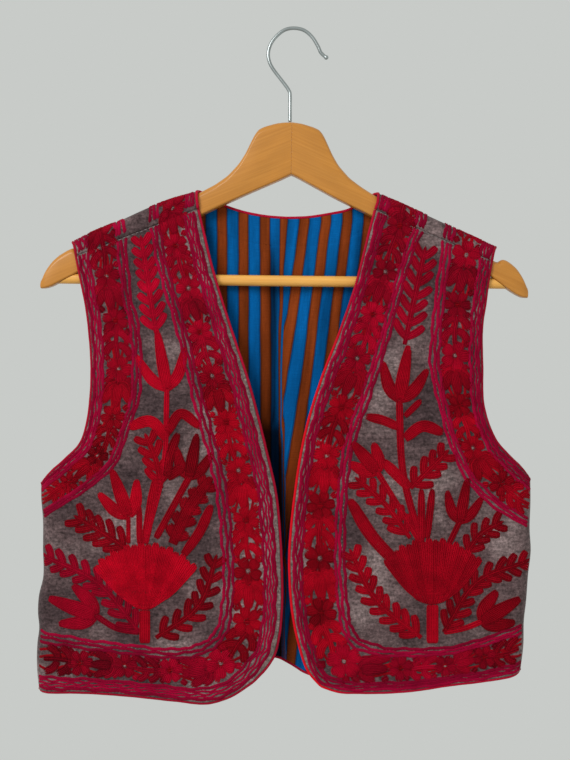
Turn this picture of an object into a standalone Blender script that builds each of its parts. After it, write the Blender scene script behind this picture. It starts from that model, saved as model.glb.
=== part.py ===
"""Short embroidered folk vest hanging on a wooden hanger.

Units are metres, +Z is up and the fronts face -Y. The origin is the top of the
hook's inside, where a nail or a rail carries the hanger.
"""
import math

import bmesh
import bpy
import numpy as np
from mathutils import Vector
from mathutils.bvhtree import BVHTree

MM = 0.001
SEAM_GAP = 0.3 * MM

# Cloth
FRONT_WALL = 2.9 * MM           # velvet, thread and lining together
BACK_WALL = 1.6 * MM            # velvet and thread, with its own lining inside
LINING_WALL = 1.0 * MM
LINING_INSET = 2                # columns left bare beside the side seams
PIPING_RADIUS = 1.5 * MM
PIPING_TRIM = 0.3 * MM          # draws an end back from the piping it meets
SHOULDER_DEPTH = 9.2 * MM       # outer face of the cloth beside the hanger
FRONT_SWELL = 6.5 * MM          # extra depth of the fronts at the hem
BACK_SWELL = 5.5 * MM
SWELL_LENGTH = 210.0 * MM       # height over which the swell grows to its full depth
FOLD_FADE = 26.0 * MM           # length over which a fold's ends die away
SIDE_ROUND = 15.0 * MM          # width over which a panel turns into its side
BAND_RAISE = 0.8 * MM           # thickness of the stitched border band
BAND_INNER = 42.0 * MM          # far edge of the band, from the cloth's edge
BAND_OUTER = 13.0 * MM          # near edge of the band
BAND_RAMP = 3.0 * MM

# Rows and columns of the panels: distances from an edge, then even steps
SIDE_STEPS = tuple(step * MM for step in (0.0, 1.0, 4.0, 9.0, 16.0, 28.0))
EDGE_STEPS = tuple(step * MM for step in (0.0, 6.0, 13.0, 27.0, 42.0, 47.0))
HEM_STEPS = tuple(step * MM for step in (0.0, 5.0, 13.0, 27.0, 42.0, 48.0))
ARMHOLE_STEPS = tuple(step * MM for step in (0.0, 1.5, 5.0, 10.0, 17.0))
TOP_STEP = 4.5 * MM
SIDE_ROWS = 8
ARMHOLE_ROWS = 11
FRONT_MIDDLE = 4
STRAP_MIDDLE = 3
NECK_COLUMNS = 8
SHOULDER_POINTS = 24
STRAP_TURNS = (36.0, 72.0, 108.0, 144.0, 180.0)
END_SHARE = 0.72                # most of a row that the steps at its ends may fill
LINE_SAMPLES = 300              # points that stand for a curve when it is measured
PIPING_RINGS = 1                # bevel resolutions of the round pieces
HOOK_RINGS = 2
RAY_START = 0.2                 # in front of or behind the whole vest
SHARP_ANGLE = math.radians(40.0)

# Outlines of the cloth, in mm: x to the right, z up, each from bottom to top or
# from the side inwards. The corded edge lies outside them.
SIDE_LEFT = (
    # x, z
    (-234.2, -604.5),
    (-235.6, -592.0),
    (-235.6, -562.0),
    (-234.0, -549.0),
    (-235.2, -535.0),
    (-234.2, -519.0),
    (-230.6, -504.0),
    (-230.6, -477.0),
    (-230.8, -447.0),
    (-232.2, -431.0),
    (-232.4, -418.0),
)
ARMHOLE_LEFT = (
    (-232.4, -418.0),
    (-222.6, -408.6),
    (-206.8, -394.6),
    (-192.6, -379.4),
    (-187.0, -362.0),
    (-184.1, -341.0),
    (-183.4, -302.0),
    (-184.8, -284.0),
    (-188.6, -254.0),
    (-193.6, -230.0),
)
FRONT_EDGE_LEFT = (
    (-37.5, -594.6),
    (-25.0, -581.0),
    (-19.9, -573.0),
    (-14.8, -554.0),
    (-12.4, -529.0),
    (-12.4, -494.5),
    (-14.0, -462.0),
    (-17.2, -428.4),
    (-26.8, -384.8),
    (-44.0, -319.6),
    (-61.2, -267.6),
    (-78.8, -209.0),
    (-84.6, -184.0),
)
HEM_LEFT = (
    (-234.2, -604.5),
    (-190.8, -604.5),
    (-152.6, -607.0),
    (-104.6, -612.0),
    (-78.9, -614.2),
    (-58.4, -608.2),
    (-37.5, -594.6),
)
SIDE_RIGHT = (
    (208.0, -587.0),
    (210.6, -566.0),
    (211.2, -541.0),
    (213.0, -526.0),
    (215.0, -500.0),
    (217.4, -478.0),
    (216.4, -459.0),
    (217.2, -432.0),
    (217.0, -414.0),
)
ARMHOLE_RIGHT = (
    (217.0, -414.0),
    (208.4, -405.2),
    (194.2, -391.6),
    (183.4, -379.4),
    (175.2, -362.0),
    (171.0, -346.0),
    (170.0, -311.0),
    (170.8, -267.0),
    (173.2, -253.0),
    (176.4, -230.0),
)
FRONT_EDGE_RIGHT = (
    (25.0, -598.8),
    (14.5, -586.8),
    (5.8, -562.8),
    (-0.3, -533.2),
    (-2.6, -507.2),
    (-3.2, -485.4),
    (-1.5, -455.8),
    (1.6, -428.0),
    (10.5, -373.9),
    (26.1, -321.2),
    (44.0, -275.0),
    (56.0, -240.4),
    (70.6, -184.0),
)
HEM_RIGHT = (
    (208.0, -587.0),
    (199.0, -589.4),
    (173.4, -593.8),
    (139.0, -598.0),
    (108.4, -602.6),
    (60.6, -604.6),
    (39.6, -603.6),
    (25.0, -598.8),
)
# Ridge of each shoulder, from the armhole to the neck.
RIDGE_LEFT = (
    (-202.6, -194.8),
    (-190.5, -188.6),
    (-161.9, -176.4),
    (-127.0, -160.8),
    (-90.4, -148.8),
    (-80.0, -145.2),
)
RIDGE_RIGHT = (
    (184.4, -199.4),
    (161.9, -189.0),
    (141.7, -179.6),
    (111.8, -165.8),
    (78.7, -151.0),
    (69.0, -146.6),
)
# Ends of each strap where it turns over the hanger's arm.
STRAP_LEFT = (
    # turn in degrees, outer x, inner x in mm
    (0.0, -201.0, -80.0),
    (90.0, -202.6, -90.4),
    (180.0, -198.6, -89.8),
)
STRAP_RIGHT = (
    (0.0, 182.6, 69.0),
    (90.0, 184.4, 78.7),
    (180.0, 180.4, 77.6),
)
# Straight shoulder seams, which lie on the front, from the armhole to the neck.
SEAM_LEFT = ((-198.2, -208.2), (-88.8, -165.8))
SEAM_RIGHT = ((179.6, -212.8), (75.2, -166.6))
# Back neckline between the straps.
BACK_NECK = (
    (-70.5, -158.9),
    (-61.2, -162.9),
    (-43.6, -168.2),
    (-25.5, -171.4),
    (-4.1, -172.8),
    (15.8, -171.9),
    (33.5, -169.1),
    (51.1, -165.2),
    (60.0, -160.6),
)
BACK_HEM = (
    (-234.2, -604.5),
    (-190.0, -603.0),
    (-120.0, -598.0),
    (-60.0, -588.0),
    (-30.0, -580.0),
    (-16.3, -578.7),
    (-2.7, -585.0),
    (11.2, -593.6),
    (40.0, -598.6),
    (100.0, -597.6),
    (160.0, -592.4),
    (208.0, -587.0),
)

# Largest folds, in mm: a soft ridge (+) or trough (-) along a line from
# (x0, z0) to (x1, z1), with its half width and its height.
FOLDS_LEFT = (
    # x0, z0, x1, z1, half width, height
    (-97.0, -180.0, -89.0, -262.0, 9.0, -2.0),
    (-155.0, -212.0, -151.0, -262.0, 8.0, -1.8),
    (-128.0, -225.0, -118.0, -590.0, 34.0, 3.6),
    (-66.0, -300.0, -46.0, -600.0, 20.0, -2.6),
    (-222.0, -515.0, -170.0, -548.0, 14.0, 2.6),
    (-206.0, -432.0, -165.0, -478.0, 14.0, -2.2),
)
FOLDS_RIGHT = (
    (128.0, -208.0, 122.0, -262.0, 9.0, -1.8),
    (88.0, -186.0, 82.0, -262.0, 10.0, -1.8),
    (112.0, -250.0, 128.0, -585.0, 34.0, 3.0),
    (48.0, -320.0, 24.0, -560.0, 20.0, -2.4),
    (192.0, -430.0, 152.0, -474.0, 14.0, -2.2),
    (205.0, -510.0, 150.0, -560.0, 16.0, 2.4),
)
FOLDS_BACK = (
    (-16.0, -182.0, -14.0, -585.0, 9.0, 3.4),
    (4.0, -262.0, 8.0, -590.0, 12.0, -2.2),
    (-110.0, -250.0, -128.0, -560.0, 26.0, 2.4),
    (108.0, -255.0, 118.0, -540.0, 26.0, 2.2),
    (-60.0, -330.0, -62.0, -590.0, 18.0, -2.0),
    (62.0, -320.0, 58.0, -585.0, 18.0, -2.0),
)

# Raised embroidery: one flowering plant on each front and on the back. Its
# places are in mm from the foot of the plant, x to the plant's right, z up.
STITCH_GAP = 0.5 * MM           # clear of the facets that the plant lies on
STITCH_THICKNESS = 1.2 * MM
PLANT_LEFT_FOOT = (-131.0, -556.0)
PLANT_RIGHT_FOOT = (121.0, -556.0)
PLANT_BACK_FOOT = (-8.0, -545.0)
FLOWER_HEART = 9.0
FLOWER_RINGS = (30.0, 43.0)
FLOWER_SPREAD = 58.0            # degrees each side of upright
PETALS = (52.0, 48.0, 51.0, 47.0, 0.0, 47.0, 52.0, 49.0, 60.0)
FOOT_STEM = (
    # x, z, half width
    (0.0, 0.0, 2.4),
    (0.0, 9.0, 3.0),
    (0.0, 18.0, 3.4),
    (0.0, 27.0, 3.8),
)
OUTER_BRANCH = (
    (-10.0, 5.0, 1.9),
    (-22.0, 8.0, 1.9),
    (-34.0, 13.0, 1.9),
    (-46.0, 20.0, 1.8),
    (-57.0, 29.0, 1.8),
    (-67.0, 40.0, 1.7),
    (-76.0, 52.0, 1.5),
)
INNER_BRANCH = (
    (9.0, 5.0, 1.9),
    (20.0, 10.0, 1.9),
    (31.0, 18.0, 1.8),
    (40.0, 28.0, 1.7),
    (47.0, 40.0, 1.6),
)
TALL_STEM = (
    (1.0, 84.0, 3.4),
    (0.0, 98.0, 2.4),
    (-2.0, 112.0, 2.2),
    (-4.0, 126.0, 2.2),
    (-5.0, 140.0, 2.2),
    (-5.0, 154.0, 2.2),
    (-4.0, 168.0, 2.2),
    (-2.0, 182.0, 2.2),
    (0.0, 194.0, 2.4),
)
TULIP_STEM = (
    (0.5, 206.0, 7.0),
    (1.0, 222.0, 8.4),
    (0.0, 236.0, 5.6),
    (-2.0, 246.0, 2.4),
)
FERN_STEM = (
    (-3.0, 256.0, 2.0),
    (-4.5, 268.0, 1.9),
    (-6.0, 280.0, 1.8),
    (-7.5, 292.0, 1.7),
    (-9.0, 304.0, 1.6),
    (-10.5, 316.0, 1.4),
)
TALL_LEAVES = (
    # stem step, side, angle from upright in degrees, length, width, bend
    (1, 1, 32.0, 46.0, 8.0, -8.0),
    (1, -1, 48.0, 40.0, 8.0, 7.0),
    (3, 1, 30.0, 36.0, 8.0, -5.0),
    (3, -1, 46.0, 34.0, 8.0, 7.0),
    (6, 1, 58.0, 34.0, 7.5, 9.0),
    (6, -1, 60.0, 34.0, 7.5, 9.0),
)
TULIP_LEAVES = (
    (0, 1, 26.0, 32.0, 7.0, -4.0),
    (0, -1, 26.0, 30.0, 7.0, -4.0),
)
LEAF_FORM = ((0.42, 1.0), (0.74, 0.78))    # shares of a leaf's length and width
FERN_LEAF = (40.0, 16.0, 5.2, 2.0)      # angle, length, width, bend
BRANCH_LEAF = (44.0, 16.0, 6.0, 2.0)

# Hanger
HANGER_CENTRE = (-4.6 * MM, 0.0, -110.0 * MM)
HANGER_TILT = math.radians(0.9)
HANGER_ARM_LEFT = (
    # distance from the centre, top z, bottom z, half thickness, in mm
    (-2.15, -84.9, -133.5, 6.0),
    (6.0, -85.4, -137.6, 6.0),
    (12.0, -86.3, -140.3, 6.0),
    (22.0, -89.2, -144.8, 6.0),
    (28.0, -91.9, -147.5, 6.0),
    (32.0, -97.4, -149.3, 6.0),
    (40.0, -114.6, -153.0, 6.0),
    (46.0, -124.2, -155.9, 6.0),
    (56.0, -135.2, -160.6, 6.0),
    (67.0, -143.2, -165.8, 6.0),
    (79.0, -149.8, -171.7, 6.0),
    (86.0, -153.2, -175.0, 6.0),
    (112.0, -163.4, -187.0, 6.0),
    (157.0, -182.4, -208.0, 6.0),
    (184.0, -194.4, -221.8, 6.0),
    (187.0, -203.4, -223.5, 6.0),
    (193.0, -206.4, -226.9, 6.0),
    (196.6, -203.6, -229.0, 6.0),
    (202.0, -205.9, -231.9, 6.0),
    (210.0, -211.0, -236.2, 6.0),
    (216.0, -216.6, -239.4, 5.8),
    (221.0, -223.6, -241.0, 5.4),
    (224.0, -229.6, -241.2, 4.6),
    (225.8, -235.2, -241.3, 3.4),
)
HANGER_ARM_RIGHT = (
    (2.45, -84.9, -133.5, 6.0),
    (6.0, -85.4, -134.9, 6.0),
    (12.0, -86.3, -138.0, 6.0),
    (22.0, -89.2, -143.3, 6.0),
    (28.0, -91.9, -146.5, 6.0),
    (32.0, -97.4, -148.6, 6.0),
    (40.0, -114.6, -152.9, 6.0),
    (46.0, -124.6, -155.9, 6.0),
    (56.0, -135.6, -160.6, 6.0),
    (67.0, -143.6, -165.8, 6.0),
    (79.0, -151.0, -171.8, 6.0),
    (86.0, -154.0, -175.2, 6.0),
    (116.0, -167.0, -189.2, 6.0),
    (146.0, -180.4, -203.2, 6.0),
    (166.0, -189.6, -213.0, 6.0),
    (184.0, -197.8, -222.0, 6.0),
    (187.0, -208.0, -224.2, 6.0),
    (193.0, -211.2, -228.6, 6.0),
    (196.6, -208.2, -231.2, 6.0),
    (200.0, -208.4, -233.6, 6.0),
    (205.0, -211.2, -237.0, 6.0),
    (211.0, -216.4, -240.6, 5.8),
    (216.0, -223.6, -242.8, 5.4),
    (219.0, -229.4, -243.0, 4.6),
    (221.0, -235.4, -243.1, 3.4),
)
ARM_LIP = 2.0 * MM              # bevel of the arm's lower corners
ARM_LIP_SHARE = 0.2             # most of the arm's height that the bevel may take
ARM_TOP_STEPS = 6
BAR_RADIUS = 5.0 * MM
BAR_SIDES = 16
BAR_GAP = 0.36 * MM             # from the bar's mitred ends up to the arms
BAR_LEFT_Z = -231.7 * MM        # bar's axis at the left and right arm
BAR_RIGHT_Z = -230.1 * MM
WIRE_RADIUS = 1.65 * MM
HOOK_BALL_RADIUS = 2.1 * MM
HOOK_TIP_RADIUS = 1.0 * MM
HOOK_POINTS = 36
HOOK_PATH = (
    # centre of the wire in mm, from the wood to the free end
    (-3.7, -84.3),
    (-3.7, -72.0),
    (-3.7, -59.5),
    (-4.9, -55.4),
    (-8.4, -50.2),
    (-19.2, -36.0),
    (-23.0, -28.0),
    (-23.6, -20.4),
    (-21.2, -12.6),
    (-15.8, -5.4),
    (-8.2, 0.2),
    (0.6, 1.65),
    (9.4, -0.4),
    (16.6, -6.4),
    (21.8, -14.6),
    (24.6, -20.6),
    (28.4, -24.4),
    (31.4, -26.3),
)


def clear_scene():
    for item in list(bpy.data.objects):
        bpy.data.objects.remove(item, do_unlink=True)


def material(name, colour, roughness, metallic=0.0):
    made = bpy.data.materials.new(name)
    made.use_nodes = True
    shader = made.node_tree.nodes["Principled BSDF"]
    shader.inputs["Base Color"].default_value = (*colour, 1.0)
    shader.inputs["Roughness"].default_value = roughness
    shader.inputs["Metallic"].default_value = metallic
    made.diffuse_color = (*colour, 1.0)
    return made


def link(name, data, finish):
    piece = bpy.data.objects.new(name, data)
    bpy.context.scene.collection.objects.link(piece)
    data.materials.append(finish)
    return piece


class Outline:
    """Smooth curve through table points, read by its length."""

    def __init__(self, points):
        self.points = np.array(points, dtype=float)
        steps = np.linalg.norm(np.diff(self.points, axis=0), axis=1)
        self.along = np.concatenate(([0.0], np.cumsum(steps)))
        self.slopes = np.gradient(self.points, self.along, axis=0)
        self.length = self.along[-1]

    def at(self, distances):
        distances = np.clip(np.atleast_1d(distances), 0.0, self.length)
        index = np.searchsorted(self.along, distances, side="right") - 1
        index = np.clip(index, 0, len(self.points) - 2)
        span = (self.along[index + 1] - self.along[index])[:, None]
        t = (distances - self.along[index])[:, None] / span
        start, end = self.points[index], self.points[index + 1]
        lead, trail = self.slopes[index] * span, self.slopes[index + 1] * span
        return (
            (2 * t**3 - 3 * t**2 + 1) * start
            + (t**3 - 2 * t**2 + t) * lead
            + (3 * t**2 - 2 * t**3) * end
            + (t**3 - t**2) * trail
        )

    def length_to_height(self, height):
        """Length at which a rising curve reaches a height."""
        samples = np.linspace(0.0, self.length, LINE_SAMPLES)
        return float(np.interp(height, self.at(samples)[:, 1], samples))


def graded(length, near_start, near_end, middle):
    """Distances from 0 to length: given steps at both ends, even ones between."""
    fit = min(1.0, END_SHARE * length / (near_start[-1] + near_end[-1]))
    start = [step * fit for step in near_start]
    end = [length - step * fit for step in reversed(near_end)]
    between = np.linspace(start[-1], end[0], middle + 1)[1:-1]
    return np.array(start + list(between) + end)


def patch(left, right, bottom, top, shares, heights):
    """Grid between two side edges, bent by how the two ends leave their chords.

    shares holds each row's column shares and heights each row's share of the
    way up, both from 0 to 1.
    """
    rows = []
    first, last = shares[0][:, None], shares[-1][:, None]
    bottom_bend = bottom - ((1.0 - first) * bottom[0] + first * bottom[-1])
    top_bend = top - ((1.0 - last) * top[0] + last * top[-1])
    for row, height in enumerate(heights):
        share = shares[row][:, None]
        chord = (1.0 - share) * left[row] + share * right[row]
        rows.append(chord + (1.0 - height) * bottom_bend + height * top_bend)
    return np.array(rows)


def smooth_step(value):
    value = np.clip(value, 0.0, 1.0)
    return value * value * (3.0 - 2.0 * value)


def shoulder_level(x):
    """Height where the cloth starts to leave the hanger."""
    table = np.array(RIDGE_LEFT + RIDGE_RIGHT[::-1]) * MM
    return np.interp(x, table[:, 0], table[:, 1]) - SHOULDER_DEPTH


def swell(x, z, amount):
    """Depth of a panel from the middle plane: it grows below the shoulder."""
    return SHOULDER_DEPTH + amount * smooth_step((shoulder_level(x) - z) / SWELL_LENGTH)


def side_turn(x, z, side):
    """0 on the side seam, rising to 1 where the panel lies flat."""
    line = side.at(np.linspace(0.0, side.length, LINE_SAMPLES))
    edge = np.interp(z, line[:, 1], line[:, 0])
    share = np.clip(np.abs(edge - x) / SIDE_ROUND, 0.0, 1.0)
    return np.sqrt(1.0 - (1.0 - share) ** 2)


def fold_height(x, z, folds):
    total = np.zeros_like(x)
    for x0, z0, x1, z1, half_width, height in folds:
        start = np.array((x0, z0)) * MM
        run = np.array((x1, z1)) * MM - start
        length = np.linalg.norm(run)
        run /= length
        along = (x - start[0]) * run[0] + (z - start[1]) * run[1]
        across = (x - start[0]) * run[1] - (z - start[1]) * run[0]
        fade = smooth_step(along / FOLD_FADE) * smooth_step((length - along) / FOLD_FADE)
        total += height * MM * fade * np.exp(-((across / (half_width * MM)) ** 2))
    return total


def distance_to(x, z, outline):
    line = outline.at(np.linspace(0.0, outline.length, LINE_SAMPLES))
    gap_x = x[..., None] - line[:, 0]
    gap_z = z[..., None] - line[:, 1]
    return np.sqrt(gap_x**2 + gap_z**2).min(axis=-1)


def band_height(x, z, outlines):
    """Thickness of the stitched border band along the given edges."""
    total = np.zeros_like(x)
    for outline in outlines:
        away = distance_to(x, z, outline)
        rise = smooth_step((away - BAND_OUTER + BAND_RAMP) / BAND_RAMP)
        fall = smooth_step((BAND_INNER + BAND_RAMP - away) / BAND_RAMP)
        total = np.maximum(total, rise * fall)
    return BAND_RAISE * total


def grid_normals(points, outward_y):
    """Unit normals of a grid of points, all on the side of outward_y."""
    down, over = np.gradient(points, axis=0), np.gradient(points, axis=1)
    normals = np.cross(down, over)
    normals /= np.linalg.norm(normals, axis=-1, keepdims=True)
    middle = normals[normals.shape[0] // 2, normals.shape[1] // 2, 1]
    if middle * outward_y < 0.0:
        normals = -normals
    return normals


def level_seam_normals(normals, rows, column):
    """Turn the normals on a side seam level, so that its edge lies in one plane."""
    normals[:rows, column, 1] = 0.0
    normals[:rows, column] /= np.linalg.norm(normals[:rows, column], axis=-1, keepdims=True)


def wall(name, finish, outer, inner, cells):
    """Closed wall of cloth over the given cells of two matching grids."""
    mesh = bmesh.new()
    corners = {}

    def corner(layer, row, column):
        key = (layer, row, column)
        if key not in corners:
            grid = (outer, inner)[layer]
            corners[key] = mesh.verts.new(grid[row, column])
        return corners[key]

    chosen = set(cells)
    for row, column in sorted(chosen):
        ring = ((row, column), (row, column + 1), (row + 1, column + 1), (row + 1, column))
        mesh.faces.new([corner(0, *place) for place in ring])
        mesh.faces.new([corner(1, *place) for place in reversed(ring)])
        beside = ((row - 1, column), (row, column + 1), (row + 1, column), (row, column - 1))
        for index, neighbour in enumerate(beside):
            if neighbour not in chosen:
                start, end = ring[index], ring[(index + 1) % 4]
                rim = (corner(0, *end), corner(0, *start), corner(1, *start), corner(1, *end))
                mesh.faces.new(rim)
    bmesh.ops.triangulate(mesh, faces=list(mesh.faces), quad_method="BEAUTY")
    bmesh.ops.recalc_face_normals(mesh, faces=list(mesh.faces))
    data = bpy.data.meshes.new(name)
    mesh.to_mesh(data)
    mesh.free()
    piece = link(name, data, finish)
    data.shade_smooth()
    data.set_sharp_from_angle(angle=SHARP_ANGLE)
    return piece


def rod(name, finish, path, radius, sides, closed=False):
    """Round cord or wire along a path, with flat ends."""
    data = bpy.data.curves.new(name, "CURVE")
    data.dimensions = "3D"
    data.bevel_depth = radius
    data.bevel_resolution = sides
    data.use_fill_caps = True
    spline = data.splines.new("POLY")
    spline.points.add(len(path) - 1)
    for point, place in zip(spline.points, path):
        point.co = (*place, 1.0)
    spline.use_cyclic_u = closed
    spline.use_smooth = True
    return link(name, data, finish)


def edge_path(outer, inner, places, beside):
    """Centre line of the corded edge outside a row of grid places.

    beside holds the next place into the cloth from each one.
    """
    outer_edge = np.array([outer[place] for place in places])
    inner_edge = np.array([inner[place] for place in places])
    inside = np.array([inner[place] for place in beside])
    run = np.gradient(inner_edge, axis=0)
    run /= np.linalg.norm(run, axis=1, keepdims=True)
    out = inner_edge - inside
    out -= (out * run).sum(axis=1, keepdims=True) * run
    out /= np.linalg.norm(out, axis=1, keepdims=True)
    face = outer_edge - inner_edge
    face /= np.linalg.norm(face, axis=1, keepdims=True)
    return inner_edge + face * PIPING_RADIUS + out * (PIPING_RADIUS + SEAM_GAP)


def trimmed(path, start=PIPING_TRIM, end=PIPING_TRIM):
    """Path with its two ends drawn back, clear of the piping they meet."""
    path = np.array(path)
    first = path[1] - path[0]
    last = path[-2] - path[-1]
    path[0] += first / np.linalg.norm(first) * start
    path[-1] += last / np.linalg.norm(last) * end
    return path


class Motif:
    """Flat outline of one plant, grown from edge to edge as joined strips."""

    def __init__(self):
        self.points = []
        self.faces = []

    def add(self, x, z):
        self.points.append((x, z))
        return len(self.points) - 1

    def ring(self, centre, ahead, half_width):
        """Two points across a strip that runs in the direction ahead."""
        length = math.hypot(*ahead)
        side = (ahead[1] / length * half_width, -ahead[0] / length * half_width)
        left = self.add(centre[0] - side[0], centre[1] - side[1])
        right = self.add(centre[0] + side[0], centre[1] + side[1])
        return left, right

    def middle(self, corners):
        return np.mean([self.points[corner] for corner in corners], axis=0)

    def stem(self, base, path):
        """Strip along a path; returns its rings, from the base upwards."""
        rings = [base] if base else []
        places = [(x, z) for x, z, _ in path]
        for index, (x, z, half_width) in enumerate(path):
            before = places[max(index - 1, 0)]
            after = places[min(index + 1, len(path) - 1)]
            if base and index == 0:
                before = self.middle(base)
            ahead = (after[0] - before[0], after[1] - before[1])
            rings.append(self.ring((x, z), ahead, half_width))
        for near, far in zip(rings, rings[1:]):
            self.faces.append((near[0], near[1], far[1], far[0]))
        return rings

    def leaf(self, rings, step, side, angle, length, width, bend):
        """Pointed leaf on one side of a stem, at the given step of its rings."""
        low, high = rings[step], rings[step + 1]
        pick = 1 if side > 0 else 0
        edge = (low[pick], high[pick])
        up = self.middle(high) - self.middle(low)
        turn = math.atan2(up[0], up[1]) + side * math.radians(angle)
        ahead = np.array((math.sin(turn), math.cos(turn)))
        across = np.array((ahead[1], -ahead[0])) * side
        root = self.middle(edge)
        rows = [edge]
        for share, fullness in LEAF_FORM:
            centre = root + ahead * length * share + across * bend * share * share
            outer = self.add(*(centre + across * width * fullness / 2.0))
            inner = self.add(*(centre - across * width * fullness / 2.0))
            rows.append((outer, inner))
        tip = self.add(*(root + ahead * length + across * bend))
        for near, far in zip(rows, rows[1:]):
            self.faces.append((near[0], near[1], far[1], far[0]))
        self.faces.append((rows[-1][0], rows[-1][1], tip))

    def flower(self, base, petals):
        """Open fan of petals above a stem; returns the edge left for a stem."""
        foot = self.middle(base)
        angles = np.radians(np.linspace(-FLOWER_SPREAD, FLOWER_SPREAD, len(petals) + 1))
        arcs = []
        for radius in (FLOWER_HEART, *FLOWER_RINGS):
            arcs.append([
                self.add(foot[0] + radius * math.sin(a), foot[1] + radius * math.cos(a))
                for a in angles
            ])
        self.faces.append((base[0], base[1], *reversed(arcs[0])))
        opening = None
        for index, length in enumerate(petals):
            for near, far in zip(arcs, arcs[1:]):
                self.faces.append((near[index], near[index + 1], far[index + 1], far[index]))
            edge = (arcs[-1][index], arcs[-1][index + 1])
            if length == 0.0:
                opening = edge
                continue
            angle = (angles[index] + angles[index + 1]) / 2.0
            tip = self.add(foot[0] + length * math.sin(angle), foot[1] + length * math.cos(angle))
            self.faces.append((edge[0], edge[1], tip))
        return opening


def plant_motif():
    """Stem, fan flower, tulip and fern, all one connected outline."""
    motif = Motif()
    foot = motif.stem(None, FOOT_STEM)
    for pick, path in ((0, OUTER_BRANCH), (1, INNER_BRANCH)):
        edge = (foot[0][pick], foot[1][pick])
        branch = motif.stem(edge if pick == 0 else edge[::-1], path)
        for step in range(1, len(branch) - 1):
            for leaf_side in (-1, 1):
                motif.leaf(branch, step, leaf_side, *BRANCH_LEAF)
    opening = motif.flower(foot[-1], PETALS)
    tall = motif.stem(opening, TALL_STEM)
    for leaf in TALL_LEAVES:
        motif.leaf(tall, *leaf)
    tulip = motif.stem(tall[-1], TULIP_STEM)
    for leaf in TULIP_LEAVES:
        motif.leaf(tulip, *leaf)
    fern = motif.stem(tulip[-1], FERN_STEM)
    for step in range(1, len(fern) - 1):
        for leaf_side in (-1, 1):
            motif.leaf(fern, step, leaf_side, *FERN_LEAF)
    return motif


def raised_motif(name, finish, motif, panel, foot, mirror, facing):
    """Lay a motif on a panel's outer face, as a solid of even thickness."""
    tree = BVHTree.FromPolygons(
        [vertex.co for vertex in panel.data.vertices],
        [polygon.vertices for polygon in panel.data.polygons],
    )
    mesh = bmesh.new()
    layers = ([], [])
    for x, z in motif.points:
        start = Vector(((foot[0] + mirror * x) * MM, facing * RAY_START, (foot[1] + z) * MM))
        hit = tree.ray_cast(start, Vector((0.0, -facing, 0.0)))[0]
        for layer, lift in zip(layers, (STITCH_GAP, STITCH_GAP + STITCH_THICKNESS)):
            layer.append(mesh.verts.new((hit.x, hit.y + facing * lift, hit.z)))
    for face in motif.faces:
        mesh.faces.new([layers[1][corner] for corner in face])
        mesh.faces.new([layers[0][corner] for corner in reversed(face)])
    sides = []
    for face in motif.faces:
        sides += [tuple(sorted(side)) for side in zip(face, face[1:] + face[:1])]
    for start, end in sorted(set(sides)):
        if sides.count((start, end)) == 1:
            mesh.faces.new((layers[1][end], layers[1][start], layers[0][start], layers[0][end]))
    bmesh.ops.triangulate(mesh, faces=list(mesh.faces), quad_method="BEAUTY")
    bmesh.ops.recalc_face_normals(mesh, faces=list(mesh.faces))
    data = bpy.data.meshes.new(name)
    mesh.to_mesh(data)
    mesh.free()
    link(name, data, finish)


def height_line(table):
    """Height of a shoulder's ridge as a function of x."""
    points = np.array(sorted(table)) * MM
    curve = Outline(points)
    samples = curve.at(np.linspace(0.0, curve.length, LINE_SAMPLES))
    return lambda x: np.interp(x, samples[:, 0], samples[:, 1])


def side_rows(side, armhole):
    """Distances of a panel's rows along its side and then its armhole."""
    below = list(HEM_STEPS)
    rest = np.linspace(HEM_STEPS[-1], side.length, SIDE_ROWS + 1)[1:]
    below += list(rest)
    above = list(ARMHOLE_STEPS)
    rest = np.linspace(ARMHOLE_STEPS[-1], armhole.length - TOP_STEP, ARMHOLE_ROWS + 1)[1:]
    above += list(rest)
    above.append(armhole.length)
    return np.array(below), np.array(above)


def outer_edge(side, armhole):
    """Points of a panel's outer edge, and how many lie on the side seam."""
    below, above = side_rows(side, armhole)
    points = np.vstack((side.at(below), armhole.at(above[1:])))
    return points, len(below)


def row_shares(left, right, near_left, near_right, middle):
    shares = []
    for start, end in zip(left, right):
        width = np.linalg.norm(end - start)
        steps = graded(width, near_left, near_right, middle)
        shares.append(steps / width)
    return shares


def edge_points(outline, near_start, near_end, middle):
    return outline.at(graded(outline.length, near_start, near_end, middle))


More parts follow.
